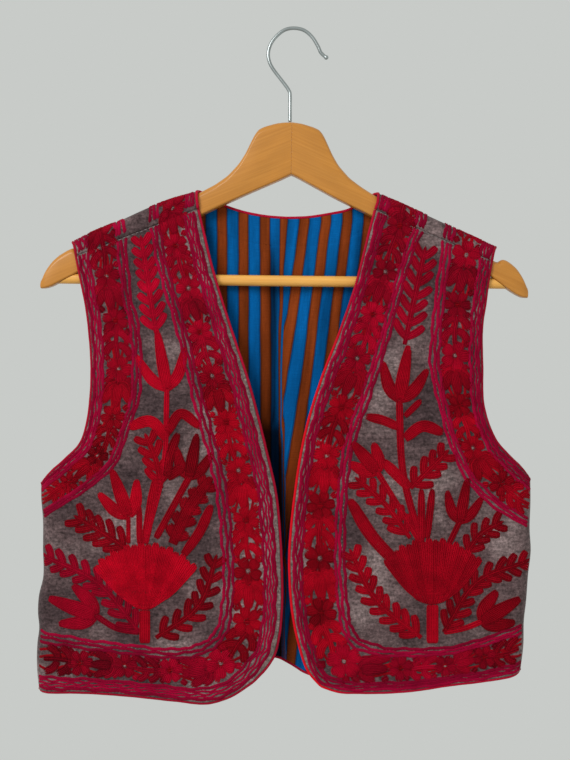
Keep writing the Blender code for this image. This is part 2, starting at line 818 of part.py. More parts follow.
class Front:
    """One front panel with its wall's two faces as grids of points.

    Rows run from the hem to the shoulder and columns from the side to the
    front edge.
    """

    def __init__(self, side, armhole, front_edge, hem, seam, folds):
        seam_points = np.array(seam) * MM - (0.0, SEAM_GAP / 2.0)
        self.side = Outline(np.array(side) * MM)
        self.hem = Outline(np.array(hem) * MM)
        self.armhole = Outline(np.vstack((np.array(armhole) * MM, seam_points[0])))
        self.front_edge = Outline(np.vstack((np.array(front_edge) * MM, seam_points[-1])))
        left, self.seam_rows = outer_edge(self.side, self.armhole)
        right = self.front_edge.at(self.front_rows(left))
        shares = row_shares(left, right, SIDE_STEPS, EDGE_STEPS, FRONT_MIDDLE)
        heights = np.linspace(0.0, 1.0, len(left))
        bottom = edge_points(self.hem, SIDE_STEPS, EDGE_STEPS, FRONT_MIDDLE)
        top = edge_points(Outline(seam_points), SIDE_STEPS, EDGE_STEPS, FRONT_MIDDLE)
        flat = patch(left, right, bottom, top, shares, heights)
        self.build_faces(flat, folds)

    def front_rows(self, left):
        """Distances up the front edge that meet the outer edge's rows."""
        rows = len(left)
        level = self.front_edge.length_to_height(left[self.seam_rows - 1][1])
        fixed = len(HEM_STEPS)
        lower = np.linspace(HEM_STEPS[-1], level, self.seam_rows - fixed + 1)[1:]
        upper = np.linspace(level, self.front_edge.length, rows - self.seam_rows + 1)[1:]
        return np.concatenate((HEM_STEPS, lower, upper))

    def build_faces(self, flat, folds):
        x, z = flat[..., 0], flat[..., 1]
        turn = side_turn(x, z, self.side)
        depth = (swell(x, z, FRONT_SWELL) + fold_height(x, z, folds)) * turn
        depth = np.maximum(depth, SEAM_GAP / 2.0)
        plain = np.stack((x, -depth, z), axis=-1)
        normals = grid_normals(plain, -1.0)
        level_seam_normals(normals, self.seam_rows, 0)
        band = band_height(x, z, (self.armhole, self.front_edge, self.hem))
        band[:, 0] = 0.0
        self.inner = plain - normals * FRONT_WALL
        self.outer = plain + normals * band[..., None]

    def cells(self):
        rows, columns = self.outer.shape[:2]
        return [(row, column) for row in range(rows - 1) for column in range(columns - 1)]

    def edge_piping(self):
        """From the shoulder seam down the front edge and along the hem."""
        rows, columns = self.outer.shape[:2]
        last = columns - 1
        places = [(row, last) for row in range(rows - 1, 0, -1)]
        beside = [(row, last - 1) for row in range(rows - 1, 0, -1)]
        places.append((0, last))
        beside.append((1, last - 1))
        places += [(0, column) for column in range(last - 1, -1, -1)]
        beside += [(1, column) for column in range(last - 1, -1, -1)]
        return edge_path(self.outer, self.inner, places, beside)

    def armhole_piping(self):
        """From the underarm up to the shoulder seam."""
        rows = range(self.seam_rows - 1, self.outer.shape[0])
        places = [(row, 0) for row in rows]
        beside = [(row, 1) for row in rows]
        return edge_path(self.outer, self.inner, places, beside)


class Back:
    """The back, with a strap over each arm of the hanger.

    Rows run from the hem to the shoulder seams and columns from left to right.
    """

    def __init__(self):
        self.ridges = (height_line(RIDGE_LEFT), height_line(RIDGE_RIGHT))
        shoulders = []
        for strap, ridge in zip((STRAP_LEFT, STRAP_RIGHT), self.ridges):
            shoulder_x = np.linspace(strap[0][1] * MM, strap[0][2] * MM, SHOULDER_POINTS)
            shoulder_z = ridge(shoulder_x) - SHOULDER_DEPTH
            shoulders.append(np.column_stack((shoulder_x, shoulder_z)))
        self.hem = Outline(np.array(BACK_HEM) * MM)
        self.armholes = [
            Outline(np.vstack((np.array(table) * MM, shoulder[0])))
            for table, shoulder in zip((ARMHOLE_LEFT, ARMHOLE_RIGHT), shoulders)
        ]
        neck = np.vstack((shoulders[0][-1], np.array(BACK_NECK) * MM, shoulders[1][-1]))
        self.neck = Outline(neck)
        self.sides = [Outline(np.array(table) * MM) for table in (SIDE_LEFT, SIDE_RIGHT)]
        left, self.seam_rows = outer_edge(self.sides[0], self.armholes[0])
        right, _ = outer_edge(self.sides[1], self.armholes[1])
        steps = SIDE_STEPS
        strap_points = [
            Outline(line).at(self.strap_steps(Outline(line).length)) for line in shoulders
        ]
        neck_points = self.neck.at(np.linspace(0.0, self.neck.length, NECK_COLUMNS + 1))
        top = np.vstack((strap_points[0], neck_points[1:-1], strap_points[1][::-1]))
        self.strap_columns = len(strap_points[0]) - 1
        middle = len(top) + 1 - 2 * len(steps)
        shares = row_shares(left, right, steps, steps, middle)
        heights = np.linspace(0.0, 1.0, len(left))
        bottom = edge_points(self.hem, steps, steps, middle)
        flat = patch(left, right, bottom, top, shares, heights)
        self.body_rows = len(left)
        self.build_faces(flat)

    def strap_steps(self, length):
        start = list(SIDE_STEPS)
        rest = np.linspace(start[-1], length, STRAP_MIDDLE + 1)[1:]
        return np.array(start + list(rest))

    def build_faces(self, flat):
        x, z = flat[..., 0], flat[..., 1]
        turn = np.minimum(side_turn(x, z, self.sides[0]), side_turn(x, z, self.sides[1]))
        depth = (swell(x, z, BACK_SWELL) + fold_height(x, z, FOLDS_BACK)) * turn
        depth = np.maximum(depth, SEAM_GAP / 2.0)
        plain = np.stack((x, depth, z), axis=-1)
        normals = grid_normals(plain, 1.0)
        normals[-1] = (0.0, 1.0, 0.0)
        level_seam_normals(normals, self.seam_rows, 0)
        level_seam_normals(normals, self.seam_rows, -1)
        outlines = (*self.armholes, self.hem)
        band = band_height(x, z, outlines)
        band[:, 0] = 0.0
        band[:, -1] = 0.0
        self.normals = normals
        self.lining_base = plain - normals * BACK_WALL
        strap_inner = self.strap_faces(SHOULDER_DEPTH - BACK_WALL)
        self.inner = np.concatenate((self.lining_base, strap_inner))
        body = plain + normals * band[..., None]
        self.outer = np.concatenate((body, self.strap_faces(SHOULDER_DEPTH)))

    def strap_faces(self, radius):
        """Rows of both straps over the hanger's arms and down to the seams."""
        columns = 2 * self.strap_columns + NECK_COLUMNS + 1
        rows = np.zeros((len(STRAP_TURNS) + 1, columns, 3))
        straps = (STRAP_LEFT, STRAP_RIGHT)
        seams = (SEAM_LEFT, SEAM_RIGHT)
        for number, (strap, seam, ridge) in enumerate(zip(straps, seams, self.ridges)):
            table = np.array(strap)
            width = abs(table[0, 2] - table[0, 1]) * MM
            shares = self.strap_steps(width) / width
            places = np.arange(len(shares))
            if number == 1:
                places = columns - 1 - places
            for row, degrees in enumerate(STRAP_TURNS):
                turn = math.radians(degrees)
                start, end = (np.interp(degrees, table[:, 0], table[:, k]) * MM for k in (1, 2))
                x = start + (end - start) * shares
                rows[row, places, 0] = x
                rows[row, places, 1] = radius * math.cos(turn)
                rows[row, places, 2] = ridge(x) - SHOULDER_DEPTH + radius * math.sin(turn)
            start, end = np.array(seam) * MM
            line = start + (end - start) * shares[:, None]
            rows[-1, places, 0] = line[:, 0]
            rows[-1, places, 1] = -radius
            rows[-1, places, 2] = line[:, 1] + SEAM_GAP / 2.0
        return rows

    def is_strap(self, column):
        """Whether a column of cells runs up into a strap."""
        last = self.outer.shape[1] - 1
        return column < self.strap_columns or column >= last - self.strap_columns

    def cells(self):
        rows, columns = self.outer.shape[:2]
        return [
            (row, column)
            for row in range(rows - 1)
            for column in range(columns - 1)
            if row < self.body_rows - 1 or self.is_strap(column)
        ]

    def lining_cells(self):
        """Cells of the lining, which stops short of the hem, neck and seams."""
        columns = self.outer.shape[1] - 1
        return [
            (row, column)
            for row in range(1, self.body_rows - 2)
            for column in range(LINING_INSET, columns - LINING_INSET)
        ]

    def lining_faces(self):
        face = self.lining_base - self.normals * SEAM_GAP
        return face, face - self.normals * LINING_WALL

    def neck_piping(self):
        """From one shoulder seam over the straps and round the back neck."""
        rows, columns = self.outer.shape[:2]
        left, right = self.strap_columns, columns - 1 - self.strap_columns
        top = self.body_rows - 1
        places = [(row, left) for row in range(rows - 1, top, -1)]
        beside = [(row, left - 1) for row in range(rows - 1, top, -1)]
        places.append((top, left))
        beside.append((top - 1, left - 1))
        places += [(top, column) for column in range(left + 1, right)]
        beside += [(top - 1, column) for column in range(left + 1, right)]
        places.append((top, right))
        beside.append((top - 1, right + 1))
        places += [(row, right) for row in range(top + 1, rows)]
        beside += [(row, right + 1) for row in range(top + 1, rows)]
        return edge_path(self.outer, self.inner, places, beside)

    def hem_piping(self):
        columns = self.outer.shape[1]
        places = [(0, column) for column in range(columns)]
        beside = [(1, column) for column in range(columns)]
        return edge_path(self.outer, self.inner, places, beside)

    def armhole_piping(self, column, step):
        """From the shoulder seam back over the strap and down to the underarm."""
        rows = range(self.outer.shape[0] - 1, self.seam_rows - 2, -1)
        places = [(row, column) for row in rows]
        beside = [(row, column + step) for row in rows]
        return edge_path(self.outer, self.inner, places, beside)


def joined_loop(front, back):
    """Closed path up the front's armhole and down the back's."""
    underarm = (front[0] + back[-1]) / 2.0
    shoulder = (front[-1] + back[0]) / 2.0
    return np.vstack((underarm[None], front[1:-1], shoulder[None], back[1:-1]))


def loft(name, finish, rings):
    """Closed body through rings of points, capped at both ends."""
    mesh = bmesh.new()
    loops = [[mesh.verts.new(point) for point in ring] for ring in rings]
    count = len(loops[0])
    for near, far in zip(loops, loops[1:]):
        for index in range(count):
            after = (index + 1) % count
            mesh.faces.new((near[index], near[after], far[after], far[index]))
    mesh.faces.new(loops[0])
    mesh.faces.new(loops[-1])
    bmesh.ops.recalc_face_normals(mesh, faces=list(mesh.faces))
    data = bpy.data.meshes.new(name)
    mesh.to_mesh(data)
    mesh.free()
    piece = link(name, data, finish)
    data.shade_smooth()
    data.set_sharp_from_angle(angle=SHARP_ANGLE)
    return piece


def arm_ring(side, distance, top, bottom, half):
    """Upright section of an arm: bevelled below and round on top."""
    height = top - bottom
    round_height = min(half, height / 2.0)
    lip = min(ARM_LIP, height * ARM_LIP_SHARE)
    outline = [(-half, bottom + lip), (-half + lip, bottom)]
    outline += [(half - lip, bottom), (half, bottom + lip)]
    for step in range(ARM_TOP_STEPS + 1):
        turn = math.pi * step / ARM_TOP_STEPS
        outline.append((half * math.cos(turn), top - round_height + round_height * math.sin(turn)))
    return [(side * distance, y, z - HANGER_CENTRE[2]) for y, z in outline]


def hanger_arm(name, side, stations, finish, pivot):
    rings = []
    for distance, top, bottom, half in stations:
        rings.append(arm_ring(side, distance * MM, top * MM, bottom * MM, half * MM))
    piece = loft(name, finish, rings)
    piece.parent = pivot
    return piece


def bar_end(side, stations, height):
    """Ring of the bar's end, mitred to lie under the arm."""
    table = np.array(stations) * MM
    underside = table[::-1, 2] - BAR_GAP
    ring = []
    for step in range(BAR_SIDES):
        turn = 2.0 * math.pi * step / BAR_SIDES
        z = height + BAR_RADIUS * math.sin(turn)
        distance = np.interp(z, underside, table[::-1, 0])
        ring.append((side * distance, BAR_RADIUS * math.cos(turn), z - HANGER_CENTRE[2]))
    return ring


def hanger_bar(finish, pivot):
    rings = [
        bar_end(-1.0, HANGER_ARM_LEFT, BAR_LEFT_Z),
        bar_end(1.0, HANGER_ARM_RIGHT, BAR_RIGHT_Z),
    ]
    piece = loft("hanger_bar", finish, rings)
    piece.parent = pivot
    return piece


def hanger_hook(finish):
    """Bent wire with a small ball at its free end."""
    curve = Outline(np.array(HOOK_PATH) * MM)
    flat = curve.at(np.linspace(0.0, curve.length, HOOK_POINTS))
    path = [(x, 0.0, z) for x, z in flat]
    piece = rod("hanger_hook", finish, path, WIRE_RADIUS, HOOK_RINGS)
    points = piece.data.splines[0].points
    points[-1].radius = HOOK_TIP_RADIUS / WIRE_RADIUS
    points[-2].radius = HOOK_BALL_RADIUS / WIRE_RADIUS
    points[-3].radius = HOOK_BALL_RADIUS / WIRE_RADIUS
    return piece


def build_hanger():
    wood = material("beech_wood", (0.62, 0.36, 0.14), 0.42)
    pale_wood = material("pale_wood", (0.74, 0.50, 0.26), 0.45)
    wire = material("plated_wire", (0.62, 0.64, 0.65), 0.28, 1.0)
    pivot = bpy.data.objects.new("hanger", None)
    bpy.context.scene.collection.objects.link(pivot)
    pivot.location = HANGER_CENTRE
    pivot.rotation_euler = (0.0, HANGER_TILT, 0.0)
    hanger_arm("hanger_arm_left", -1.0, HANGER_ARM_LEFT, wood, pivot)
    hanger_arm("hanger_arm_right", 1.0, HANGER_ARM_RIGHT, wood, pivot)
    hanger_bar(pale_wood, pivot)
    hanger_hook(wire)


def build_vest():
    velvet = material("grey_velvet", (0.16, 0.13, 0.12), 0.8)
    stripes = material("striped_cotton", (0.05, 0.18, 0.42), 0.75)
    thread = material("red_thread", (0.42, 0.0, 0.02), 0.7)
    cord = material("red_piping", (0.55, 0.01, 0.06), 0.6)
    back = Back()
    left = Front(SIDE_LEFT, ARMHOLE_LEFT, FRONT_EDGE_LEFT, HEM_LEFT, SEAM_LEFT, FOLDS_LEFT)
    right = Front(SIDE_RIGHT, ARMHOLE_RIGHT, FRONT_EDGE_RIGHT, HEM_RIGHT, SEAM_RIGHT, FOLDS_RIGHT)
    front_left = wall("front_left", velvet, left.outer, left.inner, left.cells())
    front_right = wall("front_right", velvet, right.outer, right.inner, right.cells())
    back_panel = wall("back", velvet, back.outer, back.inner, back.cells())
    wall("lining_back", stripes, *back.lining_faces(), back.lining_cells())
    plant = plant_motif()
    raised_motif("embroidery_left", thread, plant, front_left, PLANT_LEFT_FOOT, 1.0, -1.0)
    raised_motif("embroidery_right", thread, plant, front_right, PLANT_RIGHT_FOOT, -1.0, -1.0)
    raised_motif("embroidery_back", thread, plant, back_panel, PLANT_BACK_FOOT, 1.0, 1.0)
    last = back.outer.shape[1] - 1
    armhole_left = joined_loop(left.armhole_piping(), back.armhole_piping(0, 1))
    armhole_right = joined_loop(right.armhole_piping(), back.armhole_piping(last, -1))
    open_paths = {
        "piping_front_left": left.edge_piping(),
        "piping_front_right": right.edge_piping(),
        "piping_neck": back.neck_piping(),
        "piping_hem_back": back.hem_piping(),
    }
    for name, path in open_paths.items():
        rod(name, cord, trimmed(path), PIPING_RADIUS, PIPING_RINGS)
    rod("piping_armhole_left", cord, armhole_left, PIPING_RADIUS, PIPING_RINGS, closed=True)
    rod("piping_armhole_right", cord, armhole_right, PIPING_RADIUS, PIPING_RINGS, closed=True)


clear_scene()
build_hanger()
build_vest()
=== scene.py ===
import math

import bmesh
import bpy
import numpy as np
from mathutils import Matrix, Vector


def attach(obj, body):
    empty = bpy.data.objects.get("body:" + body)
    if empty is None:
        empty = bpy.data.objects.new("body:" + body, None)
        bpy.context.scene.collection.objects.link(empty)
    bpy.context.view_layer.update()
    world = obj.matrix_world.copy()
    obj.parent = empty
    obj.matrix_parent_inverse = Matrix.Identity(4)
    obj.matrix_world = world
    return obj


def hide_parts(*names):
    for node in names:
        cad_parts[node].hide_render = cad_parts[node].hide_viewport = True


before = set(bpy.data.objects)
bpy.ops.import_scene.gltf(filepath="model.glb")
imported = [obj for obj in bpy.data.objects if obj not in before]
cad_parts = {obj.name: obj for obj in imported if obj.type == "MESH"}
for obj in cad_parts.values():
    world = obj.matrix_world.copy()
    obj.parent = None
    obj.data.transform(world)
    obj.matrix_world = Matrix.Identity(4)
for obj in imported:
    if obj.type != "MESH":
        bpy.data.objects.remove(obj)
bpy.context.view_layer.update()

mm = 0.001
rng = np.random.default_rng(11)
print("frame loaded:", len(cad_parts), "solids")


# Everything is laid out in mm and turned into metres when a mesh is made.
def hermite(points, slopes, index, t, span):
    start, end = points[index], points[index + 1]
    lead, trail = slopes[index] * span, slopes[index + 1] * span
    return (
        (2 * t**3 - 3 * t**2 + 1) * start
        + (t**3 - 2 * t**2 + t) * lead
        + (3 * t**2 - 2 * t**3) * end
        + (t**3 - t**2) * trail
    )


def lengthAlong(line):
    steps = np.linalg.norm(np.diff(line, axis=0), axis=1)
    return np.concatenate(([0.0], np.cumsum(steps)))


def makeCurve(points):
    # a smooth line that is read by its length
    points = np.array(points, dtype=float)
    along = lengthAlong(points)
    slopes = np.gradient(points, along, axis=0)
    return {"points": points, "along": along, "slopes": slopes, "length": float(along[-1])}


def readCurve(curve, distances):
    distances = np.clip(np.atleast_1d(distances), 0.0, curve["length"])
    index = np.searchsorted(curve["along"], distances, side="right") - 1
    index = np.clip(index, 0, len(curve["points"]) - 2)
    span = (curve["along"][index + 1] - curve["along"][index])[:, None]
    t = (distances - curve["along"][index])[:, None] / span
    return hermite(curve["points"], curve["slopes"], index, t, span)


def sampled(curve, count):
    return readCurve(curve, np.linspace(0.0, curve["length"], count))


def smoothLine(points, count):
    # a smooth line through the points, evenly read by their number
    points = np.array(points, dtype=float)
    if len(points) == 2:
        return points[0] + (points[1] - points[0]) * np.linspace(0.0, 1.0, count)[:, None]
    slopes = np.gradient(points, axis=0)
    place = np.linspace(0.0, len(points) - 1.0, count)
    index = np.minimum(place.astype(int), len(points) - 2)
    return hermite(points, slopes, index, (place - index)[:, None], 1.0)


def stacked(*parts):
    # arrays and plain numbers side by side on a last axis
    return np.stack(np.broadcast_arrays(*parts), axis=-1)


def readAt(at, along, values):
    # each column of a table read at the given places
    return stacked(*(np.interp(at, along, column) for column in values.T))


def unit(vectors):
    return vectors / np.maximum(np.linalg.norm(vectors, axis=-1, keepdims=True), 1e-9)


def runs(chosen):
    # starts and ends of the unbroken stretches that are long enough to sew
    edges = np.flatnonzero(np.diff(np.concatenate(([0], chosen.astype(int), [0]))))
    return [(start, end) for start, end in zip(edges[::2], edges[1::2]) if end - start > 2]


def refine(values, parts):
    # the same values with even steps put in between
    values = np.array(values, dtype=float)
    index = np.linspace(0.0, len(values) - 1.0, (len(values) - 1) * parts + 1)
    return np.interp(index, np.arange(len(values)), values)


def smoothStep(value):
    value = np.clip(value, 0.0, 1.0)
    return value * value * (3.0 - 2.0 * value)


# The vest's cloth. Its folds, depth and walls are those of the solids.
vest = {
    "shoulderDepth": 9.2,   # outer face of the cloth beside the hanger
    "frontSwell": 6.5,      # more depth at the hem
    "backSwell": 5.5,
    "swellLength": 210.0,
    "foldFade": 26.0,
    "sideRound": 15.0,
    "frontWall": 2.9,
    "backWall": 1.6,
    "liningWall": 1.0,
    "seamGap": 0.3,
    "seamDip": 1.1,         # how far the shoulder seam is drawn in
    "seamWidth": 2.2,
    "rowParts": 5,          # finer rows and columns between those of the solids
    "columnParts": 5,
    "sideSamples": 300,
    "middle": -4.0,         # between the two shoulders
}

steps = {
    "side": (0.0, 1.0, 4.0, 9.0, 16.0, 28.0),
    "edge": (0.0, 6.0, 13.0, 27.0, 42.0, 47.0),
    "hem": (0.0, 5.0, 13.0, 27.0, 42.0, 48.0),
    "armhole": (0.0, 1.5, 5.0, 10.0, 17.0),
    "top": 4.5,
    "sideRows": 8,
    "armholeRows": 11,
    "frontMiddle": 4,
    "strapMiddle": 3,
    "neckColumns": 8,
    "endShare": 0.72,
    "turns": (36.0, 72.0, 108.0, 144.0, 180.0),
}

sideLeft = (
    (-234.2, -604.5), (-235.6, -592), (-235.6, -562), (-234, -549), (-235.2, -535), (-234.2, -519), (-230.6, -504),
    (-230.6, -477), (-230.8, -447), (-232.2, -431), (-232.4, -418),
)
armholeLeft = (
    (-232.4, -418), (-222.6, -408.6), (-206.8, -394.6), (-192.6, -379.4), (-187, -362), (-184.1, -341),
    (-183.4, -302), (-184.8, -284), (-188.6, -254), (-193.6, -230),
)
frontEdgeLeft = (
    (-37.5, -594.6), (-25, -581), (-19.9, -573), (-14.8, -554), (-12.4, -529), (-12.4, -494.5), (-14, -462),
    (-17.2, -428.4), (-26.8, -384.8), (-44, -319.6), (-61.2, -267.6), (-78.8, -209), (-84.6, -184),
)
hemLeft = (
    (-234.2, -604.5), (-190.8, -604.5), (-152.6, -607), (-104.6, -612), (-78.9, -614.2), (-58.4, -608.2),
    (-37.5, -594.6),
)
sideRight = (
    (208, -587), (210.6, -566), (211.2, -541), (213, -526), (215, -500), (217.4, -478), (216.4, -459), (217.2, -432),
    (217, -414),
)
armholeRight = (
    (217, -414), (208.4, -405.2), (194.2, -391.6), (183.4, -379.4), (175.2, -362), (171, -346), (170, -311),
    (170.8, -267), (173.2, -253), (176.4, -230),
)
frontEdgeRight = (
    (25, -598.8), (14.5, -586.8), (5.8, -562.8), (-0.3, -533.2), (-2.6, -507.2), (-3.2, -485.4), (-1.5, -455.8),
    (1.6, -428), (10.5, -373.9), (26.1, -321.2), (44, -275), (56, -240.4), (70.6, -184),
)
hemRight = (
    (208, -587), (199, -589.4), (173.4, -593.8), (139, -598), (108.4, -602.6), (60.6, -604.6), (39.6, -603.6),
    (25, -598.8),
)
ridgeLeft = (
    (-202.6, -194.8), (-190.5, -188.6), (-161.9, -176.4), (-127, -160.8), (-90.4, -148.8), (-80, -145.2),
)
ridgeRight = (
    (69, -146.6), (78.7, -151), (111.8, -165.8), (141.7, -179.6), (161.9, -189), (184.4, -199.4),
)
strapLeft = ((0.0, -201.0, -80.0), (90.0, -202.6, -90.4), (180.0, -198.6, -89.8))
strapRight = ((0.0, 182.6, 69.0), (90.0, 184.4, 78.7), (180.0, 180.4, 77.6))
seamLeft = ((-198.2, -208.2), (-88.8, -165.8))
seamRight = ((179.6, -212.8), (75.2, -166.6))
backNeck = (
    (-70.5, -158.9), (-61.2, -162.9), (-43.6, -168.2), (-25.5, -171.4), (-4.1, -172.8), (15.8, -171.9),
    (33.5, -169.1), (51.1, -165.2), (60, -160.6),
)
backHem = (
    (-234.2, -604.5), (-190, -603), (-120, -598), (-60, -588), (-30, -580), (-16.3, -578.7), (-2.7, -585),
    (11.2, -593.6), (40, -598.6), (100, -597.6), (160, -592.4), (208, -587),
)

# Soft ridges (+) and troughs (-): from x, z to x, z, half width, height. The
# first ones of each panel are the solids' own, the rest are smaller creases.
foldsLeft = (
    (-97, -180, -89, -262, 9, -2), (-155, -212, -151, -262, 8, -1.8), (-128, -225, -118, -590, 34, 3.6),
    (-66, -300, -46, -600, 20, -2.6), (-222, -515, -170, -548, 14, 2.6), (-206, -432, -165, -478, 14, -2.2),
    (-176, -232, -168, -318, 6, 1), (-110, -240, -98, -352, 6.5, 1.1), (-226, -452, -188, -470, 7, -0.9),
    (-228, -560, -178, -572, 8, -1), (-92, -410, -80, -548, 8, 1), (-160, -388, -128, -428, 7, -0.8),
)
foldsRight = (
    (128, -208, 122, -262, 9, -1.8), (88, -186, 82, -262, 10, -1.8), (112, -250, 128, -585, 34, 3),
    (48, -320, 24, -560, 20, -2.4), (192, -430, 152, -474, 14, -2.2), (205, -510, 150, -560, 16, 2.4),
    (152, -236, 148, -312, 6, 0.9), (96, -256, 84, -350, 6, 1), (214, -462, 168, -488, 7, 0.9),
    (206, -556, 170, -566, 7, -1), (66, -430, 70, -560, 8, 0.9), (150, -392, 122, -424, 7, -0.8),
)
foldsBack = (
    (-16, -182, -14, -585, 9, 3.4), (4, -262, 8, -590, 12, -2.2), (-110, -250, -128, -560, 26, 2.4),
    (108, -255, 118, -540, 26, 2.2), (-60, -330, -62, -590, 18, -2), (62, -320, 58, -585, 18, -2),
    (-150, -226, -136, -300, 7, -1), (134, -230, 124, -310, 7, -0.9), (-214, -446, -170, -486, 9, 1.2),
    (198, -440, 160, -478, 9, 1.1), (-206, -540, -176, -590, 8, -1), (176, -520, 166, -580, 8, 0.9),
)


def ridgeHeight(x):
    x = np.asarray(x, dtype=float)
    lines = [readCurve(makeCurve(table), np.linspace(0.0, 400.0, 401)) for table in (ridgeLeft, ridgeRight)]
    left, right = (np.interp(x, line[:, 0], line[:, 1]) for line in lines)
    return np.where(x < vest["middle"], left, right)


shoulderTable = np.array(ridgeLeft + ridgeRight)


def foldHeight(x, z, folds):
    total = np.zeros_like(x)
    for x0, z0, x1, z1, halfWidth, height in folds:
        start = np.array((x0, z0), dtype=float)
        run = np.array((x1, z1)) - start
        length = np.linalg.norm(run)
        run /= length
        along = (x - start[0]) * run[0] + (z - start[1]) * run[1]
        across = (x - start[0]) * run[1] - (z - start[1]) * run[0]
        fade = smoothStep(along / vest["foldFade"]) * smoothStep((length - along) / vest["foldFade"])
        total += height * fade * np.exp(-((across / halfWidth) ** 2))
    return total


def sideTurn(x, z, side):
    # 0 on the side seam, 1 where the panel lies flat
    line = sampled(side, vest["sideSamples"])
    edge = np.interp(z, line[:, 1], line[:, 0])
    share = np.clip(np.abs(edge - x) / vest["sideRound"], 0.0, 1.0)
    return np.sqrt(1.0 - (1.0 - share) ** 2)


def panelDepth(panel, x, z):
    # distance of a panel's face from the middle plane of the vest
    shoulder = np.interp(x, shoulderTable[:, 0], shoulderTable[:, 1]) - vest["shoulderDepth"]
    grown = smoothStep((shoulder - z) / vest["swellLength"])
    depth = vest["shoulderDepth"] + panel["swell"] * grown + foldHeight(x, z, panel["folds"])
    turn = np.ones_like(x)
    for side in panel["sides"]:
        turn = np.minimum(turn, sideTurn(x, z, side))
    return np.maximum(depth * turn, vest["seamGap"] / 2.0)


def seamDip(x, z, seam):
    (x0, z0), (x1, z1) = seam
    line = np.interp(x, (min(x0, x1), max(x0, x1)), (z0, z1) if x0 < x1 else (z1, z0))
    return vest["seamDip"] * np.exp(-(((z - line) / vest["seamWidth"]) ** 2))


def makeFront(side, armhole, edge, hem, seam, folds):
    seamPoints = np.array(seam) - (0.0, vest["seamGap"] / 2.0)
    return {
        "side": makeCurve(side),
        "sides": [makeCurve(side)],
        "armhole": makeCurve(np.vstack((armhole, seamPoints[0]))),
        "edge": makeCurve(np.vstack((edge, seamPoints[-1]))),
        "hem": makeCurve(hem),
        "seam": seam,
        "top": makeCurve(seamPoints),
        "folds": folds,
        "swell": vest["frontSwell"],
    }


leftFront = makeFront(sideLeft, armholeLeft, frontEdgeLeft, hemLeft, seamLeft, foldsLeft)
rightFront = makeFront(sideRight, armholeRight, frontEdgeRight, hemRight, seamRight, foldsRight)
backPanel = {
    "sides": [makeCurve(sideLeft), makeCurve(sideRight)],
    "folds": foldsBack,
    "swell": vest["backSwell"],
}


def placeFront(panel):
    # point of a front's face at x, z
    def place(flat):
        x, z = flat[..., 0], flat[..., 1]
        depth = panelDepth(panel, x, z) - seamDip(x, z, panel["seam"])
        return stacked(x, -depth, z)
    return place


def placeBack(flat):
    # point of the back's face at x and a height that runs on over the shoulder
    x, u = flat[..., 0], flat[..., 1]
    radius = vest["shoulderDepth"]
    start = ridgeHeight(x) - radius
    turn = np.clip((u - start) / radius, 0.0, math.pi)
    down = np.maximum(u - start - math.pi * radius, 0.0)
    body = panelDepth(backPanel, x, np.minimum(u, start))
    front = start - down
    dip = np.where(x < 0.0, seamDip(x, front, seamLeft), seamDip(x, front, seamRight))
    over = radius * np.cos(turn)
    y = np.where(u <= start, body, over + np.where(down > 0.0, dip, 0.0))
    z = np.where(u <= start, u, np.where(down > 0.0, front, start + radius * np.sin(turn)))
    return stacked(x, y, z)


def surfaceNormals(place, flat, outwardY):
    reach = 0.25
    overX = place(flat + (reach, 0.0)) - place(flat - (reach, 0.0))
    overZ = place(flat + (0.0, reach)) - place(flat - (0.0, reach))
    return -outwardY * unit(np.cross(overX, overZ))


def graded(length, nearStart, nearEnd, middle):
    fit = min(1.0, steps["endShare"] * length / (nearStart[-1] + nearEnd[-1]))
    start = [step * fit for step in nearStart]
    end = [length - step * fit for step in reversed(nearEnd)]
    between = np.linspace(start[-1], end[0], middle + 1)[1:-1]
    return np.array(start + list(between) + end)


def patch(left, right, bottom, top, shares):
    # grid between two side lines, bent by how its two ends leave their chords
    rows = []
    first, last = shares[0][:, None], shares[-1][:, None]
    bottomBend = bottom - ((1.0 - first) * bottom[0] + first * bottom[-1])
    topBend = top - ((1.0 - last) * top[0] + last * top[-1])
    for row, height in enumerate(np.linspace(0.0, 1.0, len(left))):
        share = shares[row][:, None]
        chord = (1.0 - share) * left[row] + share * right[row]
        rows.append(chord + (1.0 - height) * bottomBend + height * topBend)
    return np.array(rows)


def outerEdge(side, armhole):
    parts = vest["rowParts"]
    below = list(steps["hem"])
    below += list(np.linspace(below[-1], side["length"], steps["sideRows"] + 1)[1:])
    above = list(steps["armhole"])
    above += list(np.linspace(above[-1], armhole["length"] - steps["top"], steps["armholeRows"] + 1)[1:])
    above.append(armhole["length"])
    fineBelow, fineAbove = refine(below, parts), refine(above, parts)
    points = np.vstack((readCurve(side, fineBelow), readCurve(armhole, fineAbove[1:])))
    return points, len(below), len(above), len(fineBelow)


def rowShares(left, right, nearLeft, nearRight, middle):
    shares = []
    for start, end in zip(left, right):
        width = np.linalg.norm(end - start)
        shares.append(refine(graded(width, nearLeft, nearRight, middle) / width, vest["columnParts"]))
    return shares


def fineEdge(curve, nearStart, nearEnd, middle):
    distances = graded(curve["length"], nearStart, nearEnd, middle)
    return readCurve(curve, refine(distances, vest["columnParts"]))


def gridNormals(points, outwardY):
    down, over = np.gradient(points, axis=0), np.gradient(points, axis=1)
    normals = unit(np.cross(down, over))
    middle = normals[normals.shape[0] // 2, normals.shape[1] // 2, 1]
    return normals if middle * outwardY > 0.0 else -normals


def levelNormals(normals, rows, column):
    # a side seam's edge lies in one plane
    normals[:rows, column, 1] = 0.0
    normals[:rows, column] = unit(normals[:rows, column])


